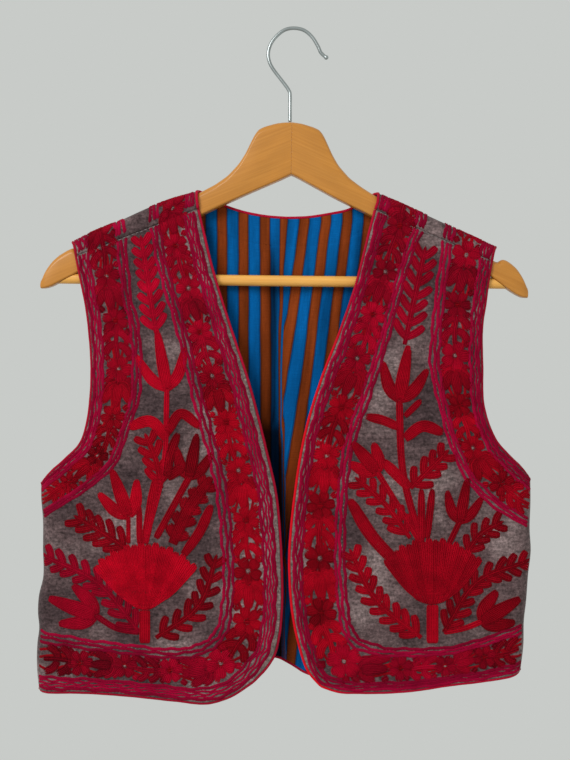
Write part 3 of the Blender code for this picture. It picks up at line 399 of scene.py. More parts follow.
def frontGrid(panel):
    left, coarseBelow, coarseAbove, seamRows = outerEdge(panel["side"], panel["armhole"])
    edge, hemSteps = panel["edge"], steps["hem"]
    samples = np.linspace(0.0, edge["length"], 400)
    level = float(np.interp(left[seamRows - 1][1], readCurve(edge, samples)[:, 1], samples))
    lower = np.linspace(hemSteps[-1], level, coarseBelow - len(hemSteps) + 1)[1:]
    upper = np.linspace(level, edge["length"], coarseAbove)[1:]
    distances = refine(np.concatenate((hemSteps, lower, upper)), vest["rowParts"])
    right = readCurve(edge, distances)
    near = (steps["side"], steps["edge"], steps["frontMiddle"])
    shares = rowShares(left, right, *near)
    flat = patch(left, right, fineEdge(panel["hem"], *near), fineEdge(panel["top"], *near), shares)
    outer = placeFront(panel)(flat)
    normals = gridNormals(outer, -1.0)
    levelNormals(normals, seamRows, 0)
    return {"flat": flat, "outer": outer, "inner": outer - normals * vest["frontWall"], "seamRows": seamRows}


def strapSteps(length):
    start = list(steps["side"])
    return np.array(start + list(np.linspace(start[-1], length, steps["strapMiddle"] + 1)[1:]))


def strapRows(radius, columns, strapColumns):
    # rows of both straps over the hanger's arms, then down to the seams
    turns = refine(np.concatenate(([0.0], steps["turns"])), vest["rowParts"])[1:]
    over, down = len(turns), vest["rowParts"]
    rows = np.zeros((over + down, columns, 3))
    flats = np.zeros((over + down, columns, 2))
    left = np.arange(strapColumns + 1)
    for places, strap, seam in ((left, strapLeft, seamLeft), (columns - 1 - left, strapRight, seamRight)):
        table = np.array(strap)
        width = abs(table[0, 2] - table[0, 1])
        shares = refine(strapSteps(width) / width, vest["columnParts"])
        for row, degrees in enumerate(turns):
            start, end = (np.interp(degrees, table[:, 0], table[:, k]) for k in (1, 2))
            x = start + (end - start) * shares
            turn = math.radians(degrees)
            base = ridgeHeight(x) - vest["shoulderDepth"]
            rows[row, places] = stacked(x, radius * math.cos(turn), base + radius * math.sin(turn))
            flats[row, places] = stacked(x, base + vest["shoulderDepth"] * turn)
        last, lastFlat = rows[over - 1, places], flats[over - 1, places, 1]
        start, end = np.array(seam)
        line = start + (end - start) * shares[:, None]
        seamPoints = stacked(line[:, 0], -radius, line[:, 1] + vest["seamGap"] / 2.0)
        for k in range(down):
            points = last + (seamPoints - last) * ((k + 1.0) / down)
            points[:, 1] += seamDip(points[:, 0], points[:, 2], seam)
            rows[over + k, places] = points
            flats[over + k, places, 0] = points[:, 0]
            flats[over + k, places, 1] = lastFlat + np.abs(points[:, 2] - last[:, 2])
    return rows, flats


def backGrid():
    shoulders = []
    for strap in (strapLeft, strapRight):
        x = np.linspace(strap[0][1], strap[0][2], 24)
        shoulders.append(stacked(x, ridgeHeight(x) - vest["shoulderDepth"]))
    armholes = [
        makeCurve(np.vstack((table, shoulder[0])))
        for table, shoulder in zip((armholeLeft, armholeRight), shoulders)
    ]
    neck = makeCurve(np.vstack((shoulders[0][-1], backNeck, shoulders[1][-1])))
    left, _, _, seamRows = outerEdge(backPanel["sides"][0], armholes[0])
    right, _, _, _ = outerEdge(backPanel["sides"][1], armholes[1])
    parts = vest["columnParts"]
    straps = []
    for line in shoulders:
        curve = makeCurve(line)
        straps.append(readCurve(curve, refine(strapSteps(curve["length"]), parts)))
    neckLine = sampled(neck, steps["neckColumns"] * parts + 1)
    top = np.vstack((straps[0], neckLine[1:-1], straps[1][::-1]))
    strapColumns = len(straps[0]) - 1
    middle = (len(top) - 1) // parts + 2 - 2 * len(steps["side"])
    near = (steps["side"], steps["side"], middle)
    shares = rowShares(left, right, *near)
    flat = patch(left, right, fineEdge(makeCurve(backHem), *near), top, shares)
    x, z = flat[..., 0], flat[..., 1]
    plain = stacked(x, panelDepth(backPanel, x, z), z)
    normals = gridNormals(plain, 1.0)
    normals[-1] = (0.0, 1.0, 0.0)
    levelNormals(normals, seamRows, 0)
    levelNormals(normals, seamRows, -1)
    columns = flat.shape[1]
    outerStraps, strapFlats = strapRows(vest["shoulderDepth"], columns, strapColumns)
    innerStraps, _ = strapRows(vest["shoulderDepth"] - vest["backWall"], columns, strapColumns)
    base = plain - normals * vest["backWall"]
    return {
        "flat": np.concatenate((flat, strapFlats)),
        "outer": np.concatenate((plain, outerStraps)),
        "inner": np.concatenate((base, innerStraps)),
        "plain": plain,
        "normals": normals,
        "bodyRows": len(flat),
        "strapColumns": strapColumns,
        "seamRows": seamRows,
    }


def addObject(name, data):
    made = bpy.data.objects.new(name, data)
    bpy.context.scene.collection.objects.link(made)
    return made


def meshObject(name, points, faces, materials, faceMaterial=None, uv=None, tone=None):
    data = bpy.data.meshes.new(name)
    data.from_pydata((np.asarray(points) * mm).tolist(), [], [tuple(face) for face in faces])
    for finish in materials:
        data.materials.append(finish)
    if faceMaterial is not None:
        data.polygons.foreach_set("material_index", np.asarray(faceMaterial, dtype=np.int32))
    if uv is not None:
        layer = data.uv_layers.new(name="UVMap")
        corners = np.zeros(len(data.loops), dtype=np.int32)
        data.loops.foreach_get("vertex_index", corners)
        layer.data.foreach_set("uv", np.asarray(uv, dtype=np.float32)[corners].ravel())
    if tone is not None:
        layer = data.color_attributes.new(name="tone", type="FLOAT_COLOR", domain="POINT")
        colours = np.ones((len(points), 4), dtype=np.float32)
        colours[:, :3] = tone
        layer.data.foreach_set("color", colours.ravel())
    data.shade_smooth()
    data.update()
    piece = addObject(name, data)
    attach(piece, "root")
    return piece


def shell(name, outer, inner, flat, mask, materials, tone):
    # closed wall of cloth over the chosen cells of two matching grids
    rows, columns = outer.shape[:2]
    number = np.arange(rows * columns).reshape(rows, columns)
    corners = (number[:-1, :-1], number[:-1, 1:], number[1:, 1:], number[1:, :-1])
    ring = stacked(*(corner[mask] for corner in corners))
    shift = rows * columns
    faces = [ring, ring[:, ::-1] + shift]
    kinds = [np.zeros(len(ring)), np.ones(len(ring))]
    padded = np.pad(mask, 1)
    beside = (padded[:-2, 1:-1], padded[1:-1, 2:], padded[2:, 1:-1], padded[1:-1, :-2])
    for side, neighbour in enumerate(beside):
        bare = mask & ~neighbour
        start, end = corners[side][bare], corners[(side + 1) % 4][bare]
        faces.append(stacked(end, start, start + shift, end + shift))
        kinds.append(np.zeros(len(start)))
    faces, kinds = np.concatenate(faces), np.concatenate(kinds)
    points = np.concatenate((outer.reshape(-1, 3), inner.reshape(-1, 3)))
    uv = np.concatenate((flat.reshape(-1, 2), flat.reshape(-1, 2)))
    tones = np.concatenate((tone.reshape(-1, 3), tone.reshape(-1, 3)))
    used = np.unique(faces)
    lookup = np.zeros(len(points), dtype=int)
    lookup[used] = np.arange(len(used))
    faces = lookup[faces]
    piece = meshObject(name, points[used], faces, materials, kinds, uv[used], tones[used])
    flipOutward(piece)
    return piece


def flipOutward(piece):
    # turns the whole mesh so that its faces point out
    mesh = bmesh.new()
    mesh.from_mesh(piece.data)
    bmesh.ops.recalc_face_normals(mesh, faces=mesh.faces)
    mesh.to_mesh(piece.data)
    mesh.free()


def tube(name, path, radii, sides, finish, closed=False, tone=(0.0, 0.5, 0.0)):
    path = np.asarray(path, dtype=float)
    count = len(path)
    radii = np.broadcast_to(np.asarray(radii, dtype=float), (count,))
    if closed:
        ahead = np.roll(path, -1, axis=0) - np.roll(path, 1, axis=0)
    else:
        ahead = np.gradient(path, axis=0)
    ahead = unit(ahead)
    across = np.zeros_like(path)
    first = np.cross(ahead[0], (0.3, 1.0, 0.2))
    across[0] = first / np.linalg.norm(first)
    for k in range(1, count):
        side = across[k - 1] - ahead[k] * np.dot(across[k - 1], ahead[k])
        across[k] = side / np.linalg.norm(side)
    up = np.cross(ahead, across)
    if closed:
        # spread the twist that is left over along the loop
        twist = math.atan2(np.dot(np.cross(across[-1], across[0]), ahead[0]), np.dot(across[-1], across[0]))
        turn = np.linspace(0.0, twist, count)[:, None]
        across, up = across * np.cos(turn) + up * np.sin(turn), up * np.cos(turn) - across * np.sin(turn)
    angles = np.linspace(0.0, 2.0 * math.pi, sides, endpoint=False)
    out = across[:, None] * np.cos(angles)[:, None] + up[:, None] * np.sin(angles)[:, None]
    points = (path[:, None] + out * radii[:, None, None]).reshape(-1, 3)
    uv = stacked(lengthAlong(path)[:, None], (angles / (2.0 * math.pi))[None]).reshape(-1, 2)
    rings = np.arange(count if closed else count - 1)
    k = np.arange(sides)
    near = (rings * sides)[:, None]
    far = (((rings + 1) % count) * sides)[:, None]
    after = (k + 1) % sides
    faces = stacked(near + k, near + after, far + after, far + k).reshape(-1, 4)
    faces = [tuple(face) for face in faces]
    if not closed:
        faces += [tuple(range(sides))[::-1], tuple(range((count - 1) * sides, count * sides))]
    tone = np.repeat(np.broadcast_to(tone, (count, 3)), sides, axis=0)
    return meshObject(name, points, faces, [finish], uv=uv, tone=tone)


# Finishes.
def newMaterial(name):
    made = bpy.data.materials.new(name)
    made.use_nodes = True
    tree = made.node_tree
    return made, tree, tree.nodes["Principled BSDF"]


def addNode(tree, kind, values=None, links=None, **settings):
    node = tree.nodes.new(kind)
    for key, value in settings.items():
        setattr(node, key, value)
    for key, value in (values or {}).items():
        node.inputs[key].default_value = value
    for key, source in (links or {}).items():
        tree.links.new(source, node.inputs[key])
    return node


def objectPlace(tree, kind="Object"):
    return addNode(tree, "ShaderNodeTexCoord").outputs[kind]


def meshTone(tree):
    # shades that are kept on the mesh: Red, Green and Blue each mean what the finish makes of them
    tone = addNode(tree, "ShaderNodeAttribute", attribute_name="tone").outputs["Color"]
    return addNode(tree, "ShaderNodeSeparateColor", links={"Color": tone}).outputs


def noise(tree, vector, scale, detail=2.0, roughness=0.5):
    # a scale of three numbers stretches the noise
    if isinstance(scale, tuple):
        vector = addNode(tree, "ShaderNodeMapping", {"Scale": scale}, {"Vector": vector}).outputs["Vector"]
        scale = 1.0
    values = {"Scale": scale, "Detail": detail, "Roughness": roughness}
    return addNode(tree, "ShaderNodeTexNoise", values, {"Vector": vector}).outputs["Fac"]


def ramp(tree, factor, stops):
    node, stops = addNode(tree, "ShaderNodeValToRGB", links={"Fac": factor}), tuple(stops)
    points = node.color_ramp.elements
    while len(points) < len(stops):
        points.new(0.5)
    for point, (place, colour) in zip(points, stops):
        point.position = place
        point.color = (*colour, 1.0)
    return node.outputs["Color"]


def feed(tree, sockets, values):
    for socket, value in zip(sockets, values):
        if isinstance(value, bpy.types.NodeSocket):
            tree.links.new(value, socket)
        else:
            socket.default_value = (*value, 1.0) if isinstance(value, tuple) else value


def mixColour(tree, factor, first, second, blend="MIX"):
    node = addNode(tree, "ShaderNodeMix", data_type="RGBA", blend_type=blend)
    feed(tree, (node.inputs[0], node.inputs[6], node.inputs[7]), (factor, first, second))
    return node.outputs[2]


def shade(tree, colour, factor, low, high, ends=(0.3, 0.7)):
    # darker and lighter by a factor that lies between its two ends
    reach = {"From Min": ends[0], "From Max": ends[1], "To Min": low, "To Max": high}
    level = addNode(tree, "ShaderNodeMapRange", reach, {"Value": factor}).outputs["Result"]
    grey = addNode(tree, "ShaderNodeCombineColor", links={"Red": level, "Green": level, "Blue": level}).outputs["Color"]
    return mixColour(tree, 1.0, colour, grey, "MULTIPLY")


def combine(tree, operation, first, second=0.0, third=0.0):
    node = addNode(tree, "ShaderNodeMath", operation=operation)
    feed(tree, node.inputs, (first, second, third))
    return node.outputs["Value"]


def finish(tree, shader, colour, bump=None, strength=0.3, distance=0.0003, **values):
    tree.links.new(colour, shader.inputs["Base Color"])
    if bump is not None:
        node = addNode(tree, "ShaderNodeBump", {"Strength": strength, "Distance": distance}, {"Height": bump})
        tree.links.new(node.outputs["Normal"], shader.inputs["Normal"])
    for key, value in values.items():
        shader.inputs[key.replace("_", " ")].default_value = value


def waves(tree, look):
    # slanting waves of a twisted thread or a woven cord
    turned = addNode(tree, "ShaderNodeMapping", look["slope"], {"Vector": objectPlace(tree, "UV")}).outputs["Vector"]
    return addNode(tree, "ShaderNodeTexWave", look["wave"], {"Vector": turned}).outputs["Fac"]


# A layer of a finish: scale, detail and roughness of its noise, then its darkest
# and lightest shade.
fullRange = (0.0, 1.0)
velvetLook = {
    "colours": ((0.060, 0.038, 0.040), (0.108, 0.070, 0.071), (0.200, 0.145, 0.143)),
    "stops": (0.36, 0.50, 0.65),
    "strip": (0.172, 0.127, 0.119),     # worn nap with painted sheen beside the front edges
    "nap": (18.0, 2.0, 0.55),
    # darkest and lightest of the worn nap with painted light and shade
    "fade": (0.40, 1.60),
    "across": ((130.0, 130.0, 420.0), 3.0, 0.6, 0.62, 1.40),
    "grain": (190.0, 3.0, 0.6, 0.74, 1.28),
    "specks": (430.0, 2.0, 0.6, 0.60, 1.44),
    "pile": (1100.0, 2.0, 0.7, 0.80, 1.22),
}


def makeVelvet(look):
    made, tree, shader = newMaterial("greyVelvet")
    place, parts = objectPlace(tree), meshTone(tree)
    nap = noise(tree, place, *look["nap"])
    # the worn strip with painted sheen beside the front edges
    colour = mixColour(tree, parts["Red"], ramp(tree, nap, zip(look["stops"], look["colours"])), look["strip"])
    # worn nap with painted light and shade, kept on the mesh
    colour = shade(tree, colour, parts["Green"], *look["fade"], fullRange)
    layers = {}
    for name in ("across", "grain", "specks", "pile"):
        layers[name] = noise(tree, place, *look[name][:3])
        colour = shade(tree, colour, layers[name], *look[name][3:])
    finish(
        tree, shader, colour, combine(tree, "ADD", layers["specks"], layers["grain"]), 0.5, 0.0006,
        Roughness=0.94, Specular_IOR_Level=0.10, Sheen_Weight=0.30, Sheen_Roughness=0.40,
        Sheen_Tint=(0.80, 0.74, 0.72, 1.0),
    )
    return made


threadLook = {
    "scarlet": (0.400, 0.0006, 0.0090),
    "crimson": (0.320, 0.0008, 0.0300),
    "pale": (0.420, 0.270, 0.265),
    "depth": (0.25, 1.70),
    "worn": (60.0, 4.0, 0.6, 0.76, 1.24),
    "slope": {"Rotation": (0.0, 0.0, 0.7)},
    "wave": {"Scale": 0.42, "Distortion": 1.5, "Detail": 2.0},
    "twist": (0.76, 1.16),
    "fuzz": (1500.0, 2.0, 0.7, 0.84, 1.16),
}


def makeThread(look):
    made, tree, shader = newMaterial("redThread")
    parts, place = meshTone(tree), objectPlace(tree)
    colour = mixColour(tree, parts["Red"], look["scarlet"], look["crimson"])
    colour = mixColour(tree, parts["Blue"], colour, look["pale"])
    colour = shade(tree, colour, parts["Green"], *look["depth"], fullRange)
    colour = shade(tree, colour, noise(tree, place, *look["worn"][:3]), *look["worn"][3:])
    twist = waves(tree, look)
    colour = shade(tree, colour, twist, *look["twist"], fullRange)
    fuzz = noise(tree, place, *look["fuzz"][:3])
    colour = shade(tree, colour, fuzz, *look["fuzz"][3:])
    finish(
        tree, shader, colour, combine(tree, "ADD", twist, fuzz), 0.5, 0.0005,
        Roughness=0.80, Specular_IOR_Level=0.07, Sheen_Weight=0.05, Sheen_Roughness=0.5,
        Sheen_Tint=(1.0, 0.10, 0.15, 1.0),
    )
    return made


liningLook = {
    "blue": (0.0012, 0.112, 0.360),
    "rust": (0.245, 0.044, 0.0075),
    "period": 19.9,
    "rustShare": 0.46,
    "rustStart": 5.9,
    "wobble": 1.6,
    "wobbleScale": (0.02, 0.03, 1.0),
    "seam": (0.015, 0.080),     # dark line between two stripes, in shares of the period
    "seamShade": 0.42,
    "warp": ((3.2, 0.10, 1.0), 3.0, 0.5, 0.86, 1.14),
    "weft": ((0.12, 2.6, 1.0), 2.0, 0.5, 0.86, 1.12),
    # patches: painted shade in long upright streaks, as of soft folds
    "patches": ((0.10, 0.010, 1.0), 3.0, 0.5, 0.62, 1.30),
    # darkest factor of the painted shade in the lining's hollows and of the left front's painted shadow
    "paintedShadeDepth": 0.10,
}


def makeLining(look):
    made, tree, shader = newMaterial("stripedLining")
    flat = objectPlace(tree, "UV")
    across = addNode(tree, "ShaderNodeSeparateXYZ", links={"Vector": flat}).outputs["X"]
    wobble = combine(tree, "MULTIPLY", noise(tree, flat, look["wobbleScale"]), look["wobble"])
    fromStart = combine(tree, "SUBTRACT", combine(tree, "ADD", across, wobble), look["rustStart"])
    share = combine(tree, "FRACT", combine(tree, "DIVIDE", fromStart, look["period"]))
    isBlue = combine(tree, "GREATER_THAN", share, look["rustShare"])
    colour = mixColour(tree, isBlue, look["rust"], look["blue"])
    fromSide = combine(tree, "MINIMUM", share, combine(tree, "SUBTRACT", 1.0, share))
    fromMiddle = combine(tree, "ABSOLUTE", combine(tree, "SUBTRACT", share, look["rustShare"]))
    seam = combine(tree, "MINIMUM", fromSide, fromMiddle)
    colour = shade(tree, colour, seam, look["seamShade"], 1.0, look["seam"])
    warp, weft = (noise(tree, flat, *look[name][:3]) for name in ("warp", "weft"))
    colour = shade(tree, colour, warp, *look["warp"][3:])
    colour = shade(tree, colour, weft, *look["weft"][3:])
    # painted shade in long upright streaks, as of soft folds
    colour = shade(tree, colour, noise(tree, flat, *look["patches"][:3]), *look["patches"][3:])
    # painted shade kept on the mesh: the fold hollows and the left front's shadow
    colour = shade(tree, colour, meshTone(tree)["Blue"], 1.0, look["paintedShadeDepth"], fullRange)
    finish(
        tree, shader, colour, combine(tree, "ADD", warp, weft), 0.35, 0.0003,
        Roughness=0.92, Specular_IOR_Level=0.06,
    )
    return made


pipingLook = {
    "colours": ((0.350, 0.001, 0.022), (0.600, 0.0012, 0.036)),
    "bright": (0.820, 0.0012, 0.009),
    "patches": (45.0, 3.0),
    "depth": (0.40, 1.60),
    "slope": {"Rotation": (0.0, 0.0, 0.5), "Scale": (1.0, 9.4, 1.0)},
    "wave": {"Scale": 0.5, "Distortion": 0.6},
    "weave": (0.80, 1.15),
}


def makePiping(look):
    made, tree, shader = newMaterial("redPiping")
    colour = mixColour(tree, noise(tree, objectPlace(tree), *look["patches"]), *look["colours"])
    parts = meshTone(tree)
    colour = mixColour(tree, parts["Red"], colour, look["bright"])
    colour = shade(tree, colour, parts["Green"], *look["depth"], fullRange)
    weave = waves(tree, look)
    colour = shade(tree, colour, weave, *look["weave"], fullRange)
    finish(tree, shader, colour, weave, 0.35, 0.0003, Roughness=0.70, Specular_IOR_Level=0.12, Sheen_Weight=0.04)
    return made


woodLook = {
    "arm": ((0.515, 0.197, 0.020), (0.575, 0.229, 0.027), (0.635, 0.263, 0.037)),
    "bar": ((0.850, 0.385, 0.064), (0.910, 0.455, 0.090), (0.950, 0.515, 0.120)),
    "stops": (0.30, 0.52, 0.74),
    "grain": ((0.012, 0.55, 1.0), 5.0, 0.6),
    "fibre": ((0.09, 4.5, 1.0), 3.0, 0.6, 0.97, 1.03),
    "patches": ((0.03, 0.06, 1.0), 2.0, 0.5, 0.94, 1.05),
}


def makeWood(name, colours, look=woodLook):
    made, tree, shader = newMaterial(name)
    flat = objectPlace(tree, "UV")
    fibre = noise(tree, flat, *look["fibre"][:3])
    colour = ramp(tree, noise(tree, flat, *look["grain"]), zip(look["stops"], colours))
    colour = shade(tree, colour, fibre, *look["fibre"][3:])
    colour = shade(tree, colour, noise(tree, flat, *look["patches"][:3]), *look["patches"][3:])
    finish(
        tree, shader, colour, fibre, 0.06, 0.0002,
        Roughness=0.40, Specular_IOR_Level=0.4, Coat_Weight=0.22, Coat_Roughness=0.22,
    )
    return made


def makeWire():
    made, tree, shader = newMaterial("platedWire")
    marks = noise(tree, objectPlace(tree), 60.0)
    colour = ramp(tree, marks, ((0.3, (0.34, 0.37, 0.37)), (0.7, (0.46, 0.50, 0.50))))
    rough = addNode(tree, "ShaderNodeMapRange", {"To Min": 0.26, "To Max": 0.34}, {"Value": marks}).outputs["Result"]
    tree.links.new(rough, shader.inputs["Roughness"])
    finish(tree, shader, colour, marks, 0.02, 0.0001, Metallic=1.0)
    return made


velvet = makeVelvet(velvetLook)
redThread = makeThread(threadLook)
lining = makeLining(liningLook)
redPiping = makePiping(pipingLook)
armWood = makeWood("armWood", woodLook["arm"])
barWood = makeWood("barWood", woodLook["bar"])
platedWire = makeWire()
print("finishes made")


# Embroidery.
thread = {
    "pitch": 1.6,           # from row to row
    "stitch": 3.45,         # length of one chain
    "longer": 1.30,         # and on the back
    "height": 1.05,
    "overlap": 1.18,        # rows press against each other
    "sink": 0.2,            # their edges lie in the pile
    "sample": 1.2,
    "margin": 1.4,          # clear of the side seams
    "jointShare": 0.90,     # width where two chains meet
    "endHeight": 0.35,
    "endWidth": 0.86,
    # painted shade on the rows' ends and on a shape's outermost rows
    "endPaintedShade": 0.6,
    "outline": 0.17,        # the outermost rows of a shape are darker: painted shade
    "full": 0.42,           # rows end where their share of the pitch is less
    "half": 0.21,
    "narrowest": 0.7,       # of a row, in pitches
    "widest": 1.35,
    "belowSide": 20.0,      # the side seams reach this far past their ends
    "aboveSide": 4.0,
}
midSection = ((-0.5, None), (-0.29, 1.0), (0.0, 0.60), (0.29, 1.0), (0.5, None))
jointSection = ((-0.5, None), (-0.25, 0.60), (0.0, 0.74), (0.25, 0.60), (0.5, None))
profiles = {
    "finger": ((0.0, 0.70), (0.15, 0.92), (0.5, 1.0), (0.84, 0.96), (0.94, 0.74), (1.0, 0.42)),
    "petal": ((0.0, 0.30), (0.3, 0.72), (0.62, 1.0), (0.84, 0.93), (0.94, 0.70), (1.0, 0.42)),
    "arc": ((0.0, 0.72), (0.2, 0.95), (0.7, 1.0), (0.9, 0.80), (0.97, 0.55), (1.0, 0.34)),
    "cup": ((0.0, 0.66), (0.2, 0.98), (0.42, 1.0), (0.68, 0.82), (0.88, 0.58), (0.96, 0.42), (1.0, 0.24)),
    "bowl": ((0.0, 0.55), (0.25, 0.88), (0.6, 1.0), (0.85, 0.84), (1.0, 0.42)),
    "even": ((0.0, 0.86), (0.05, 1.0), (0.94, 1.0), (0.98, 0.86), (1.0, 0.60)),
}


def stroke(points, width, profile, lift, tone):
    points = np.array(points, dtype=float)
    rough = float(np.linalg.norm(np.diff(points, axis=0), axis=1).sum())
    line = smoothLine(points, max(4, int(rough / thread["sample"]) + 1))
    share = lengthAlong(line)
    share = share / share[-1]
    table = np.array(profiles[profile])
    half = width / 2.0 * np.interp(share, table[:, 0], table[:, 1])
    return {"line": line, "half": half, "lift": lift, "tone": tone, "outline": thread["outline"]}


def chainRow(points, width, tone, height=1.0, stitch=thread["stitch"], lift=0.0):
    points = np.array(points, dtype=float)
    widths = np.full(len(points), width)
    return {"points": points, "width": widths, "lift": lift, "tone": tone, "height": height, "stitch": stitch}


def strokeRows(shape):
    # chain rows that run along a shape, fewer of them where it is narrow
    line, half, pitch = shape["line"], shape["half"], thread["pitch"]
    count = max(1, int(round(2.0 * half.max() / pitch)))
    ahead = unit(np.gradient(line, axis=0))
    across = stacked(ahead[:, 1], -ahead[:, 0])
    spacing = 2.0 * half / count
    dense, middling = spacing > thread["full"] * pitch, spacing > thread["half"] * pitch
    width = np.where(dense, spacing, np.where(middling, 2.0 * spacing, 4.0 * spacing)) * thread["overlap"]
    width = np.clip(width, thread["narrowest"] * pitch, thread["widest"] * pitch)
    rows = []
    for number in range(count):
        step = abs(number - count // 2)
        live = dense if step % 2 else (middling if step % 4 else np.ones(len(line), dtype=bool))
        tone = shape["tone"]
        # painted shade on the outermost rows, as between shapes
        if count > 2 and number in (0, count - 1):
            tone = (tone[0], max(tone[1] - shape["outline"], 0.04), tone[2])
        place = line + across * ((2.0 * number + 1.0) / count - 1.0) * half[:, None]
        for start, end in runs(live):
            rows.append(chainRow(place[start:end], width[start:end], tone, thread["height"], lift=shape["lift"]))
    return rows


def withinSides(rows, sides):
    # rows cut off just short of the side seams
    kept = []
    lines = [sampled(side, vest["sideSamples"]) for side in sides]
    for row in rows:
        x, z = row["points"][:, 0], row["points"][:, 1]
        inside = np.ones(len(x), dtype=bool)
        for line in lines:
            inward = 1.0 if line[0, 0] < 0.0 else -1.0
            beside = (z < line[-1, 1] + thread["aboveSide"]) & (z > line[0, 1] - thread["belowSide"])
            inside &= ~beside | ((x - np.interp(z, line[:, 1], line[:, 0])) * inward > thread["margin"])
        for start, end in runs(inside):
            kept.append({**row, "points": row["points"][start:end], "width": row["width"][start:end]})
    return kept


def threadPiece(name, place, outwardY, rows, finish=redThread):
    longer = thread["longer"] if outwardY > 0.0 else 1.0
    parts = []
    for owner, row in enumerate(rows):
        along = lengthAlong(row["points"])
        count = max(1, int(round(along[-1] / (row["stitch"] * longer))))
        at = np.linspace(0.0, along[-1], 2 * count + 1)
        centre = readAt(at, along, row["points"])
        level = np.full(len(at), row["height"])
        width = np.interp(at, along, row["width"])
        tone = np.tile(row["tone"], (len(at), 1))
        # the row's two ends are drawn in, and painted shade darkens them
        level[[0, -1]] *= thread["endHeight"]
        width[[0, -1]] *= thread["endWidth"]
        tone[[0, -1], 1] *= thread["endPaintedShade"]
        ahead, beat = np.gradient(centre, axis=0), np.arange(len(at)) % 2
        lift, owners = np.full(len(at), row["lift"]), np.full(len(at), owner)
        parts.append((centre, ahead, width, level, lift, beat, tone, at, owners))
    centre, ahead, width, level, lift, beat, tone, at, owner = map(np.concatenate, zip(*parts))
    ahead = unit(ahead)
    across = stacked(ahead[:, 1], -ahead[:, 0])
    normal = surfaceNormals(place, centre, outwardY)
    width = np.where(beat == 1, width, width * thread["jointShare"])
    points, uvs = [], []
    for (midShare, midLevel), (jointShare, jointLevel) in zip(midSection, jointSection):
        share = np.where(beat == 1, midShare, jointShare)
        if midLevel is None:
            rise = np.full(len(share), -thread["sink"])
        else:
            rise = np.where(beat == 1, midLevel, jointLevel) * level + lift
        flat = centre + across * (share * width)[:, None]
        points.append(place(flat) + normal * rise[:, None])
        uvs.append(stacked(at, share * 2.0))
    points, uvs = np.stack(points, axis=1), np.stack(uvs, axis=1)
    size = len(midSection)
    first = np.flatnonzero(owner[1:] == owner[:-1])
    near = first * size
    faces = np.concatenate([stacked(near, near + 1, near + size + 1, near + size) + k for k in range(size - 1)])
    piece = meshObject(
        name, points.reshape(-1, 3), faces, [finish], uv=uvs.reshape(-1, 2), tone=np.repeat(tone, size, axis=0),
    )
    # faces look outwards
    side = np.cross(points[first[0], 1] - points[first[0], 0], points[first[0] + 1, 0] - points[first[0], 0])
    if np.dot(side, normal[first[0]]) < 0.0:
        piece.data.flip_normals()
    print(name, "rows", len(rows), "faces", len(faces))
    return piece


def towards(start, end, share, sideways=0.0):
    # a point part of the way along, moved sideways by a share of the length
    start, end = np.array(start, dtype=float), np.array(end, dtype=float)
    run = end - start
    return start + run * share + np.array((run[1], -run[0])) * sideways


def varied(tone, amount=0.16):
    return (tone[0], float(np.clip(tone[1] + rng.uniform(-amount, amount), 0.0, 1.0)), 0.0)


shading = {
    "least": 0.08,                  # share of crimson in every thread
    "hem": (-560.0, 25.0, 0.38),    # below this height, over this reach, so much more
    "strap": (-350.0, 60.0, 0.28),
    "armhole": (140.0, 30.0, 0.17),     # this far out the borders grow darker
}


def cooler(tone, height):
    # the thread turns to crimson along the hem and over the straps
    hem, hemReach, hemMore = shading["hem"]
    strap, strapReach, strapMore = shading["strap"]
    mix = shading["least"] + hemMore * smoothStep((hem - height) / hemReach)
    mix += strapMore * smoothStep((height - strap) / strapReach)
    return (max(float(mix), tone[0]), tone[1], tone[2])


fernForm = {
    "samples": 60,
    "first": 0.55,          # place of the first pair and room left at the tip, in pairs
    "last": 0.35,
    "sway": 5.0,            # degrees
    "lengths": (1.24, 0.28),    # leaves grow shorter towards the tip
    "uneven": (0.92, 1.10),
    "root": 0.3,            # leaves start behind the stem's middle line
    "bend": (0.55, 0.05),   # place of the bend and its size
    "width": 1.50,
}


def fern(points, leafLength, leafWidth, pairs, tone, spine, opening):
    line = smoothLine(points, fernForm["samples"])
    shapes = [stroke(points, leafWidth * spine, "arc", 0.1, tone)]
    share = lengthAlong(line)
    longest, shrink = fernForm["lengths"]
    for number in range(pairs):
        place = (number + fernForm["first"]) / (pairs + fernForm["last"])
        at = int(np.searchsorted(share, place * share[-1]))
        at = min(max(at, 1), len(line) - 2)
        ahead = line[at + 1] - line[at - 1]
        heading = math.atan2(ahead[0], ahead[1])
        for side in (-1, 1):
            turn = heading + side * math.radians(opening + rng.uniform(-fernForm["sway"], fernForm["sway"]))
            length = leafLength * (longest - shrink * place) * rng.uniform(*fernForm["uneven"])
            root = line[at] - np.array((math.sin(heading), math.cos(heading))) * leafWidth * fernForm["root"]
            tip = root + np.array((math.sin(turn), math.cos(turn))) * length
            belly, bend = fernForm["bend"]
            middle = towards(root, tip, belly, bend * side)
            shapes.append(stroke((root, middle, tip), leafWidth * fernForm["width"], "finger", 0.0, varied(tone, 0.10)))
    return shapes


tulipForm = {"bend": (0.40, 0.10), "side": 1.18, "middle": 1.24, "lift": 0.3}


def tulip(base, tip, sides, petalWidth, tone):
    # cup of pointed petals
    shapes = []
    place, bend = tulipForm["bend"]
    for side in sides:
        run = np.array(tip, dtype=float) - base
        off = np.array(side, dtype=float) - base
        turn = 1.0 if run[1] * off[0] - run[0] * off[1] > 0.0 else -1.0
        belly = towards(base, side, place, bend * turn)
        shapes.append(stroke((base, belly, side), petalWidth * tulipForm["side"], "cup", 0.0, varied(tone, 0.10)))
    middle, width = (base, towards(base, tip, 0.5), tip), petalWidth * tulipForm["middle"]
    return shapes + [stroke(middle, width, "cup", tulipForm["lift"], varied(tone, 0.10))]


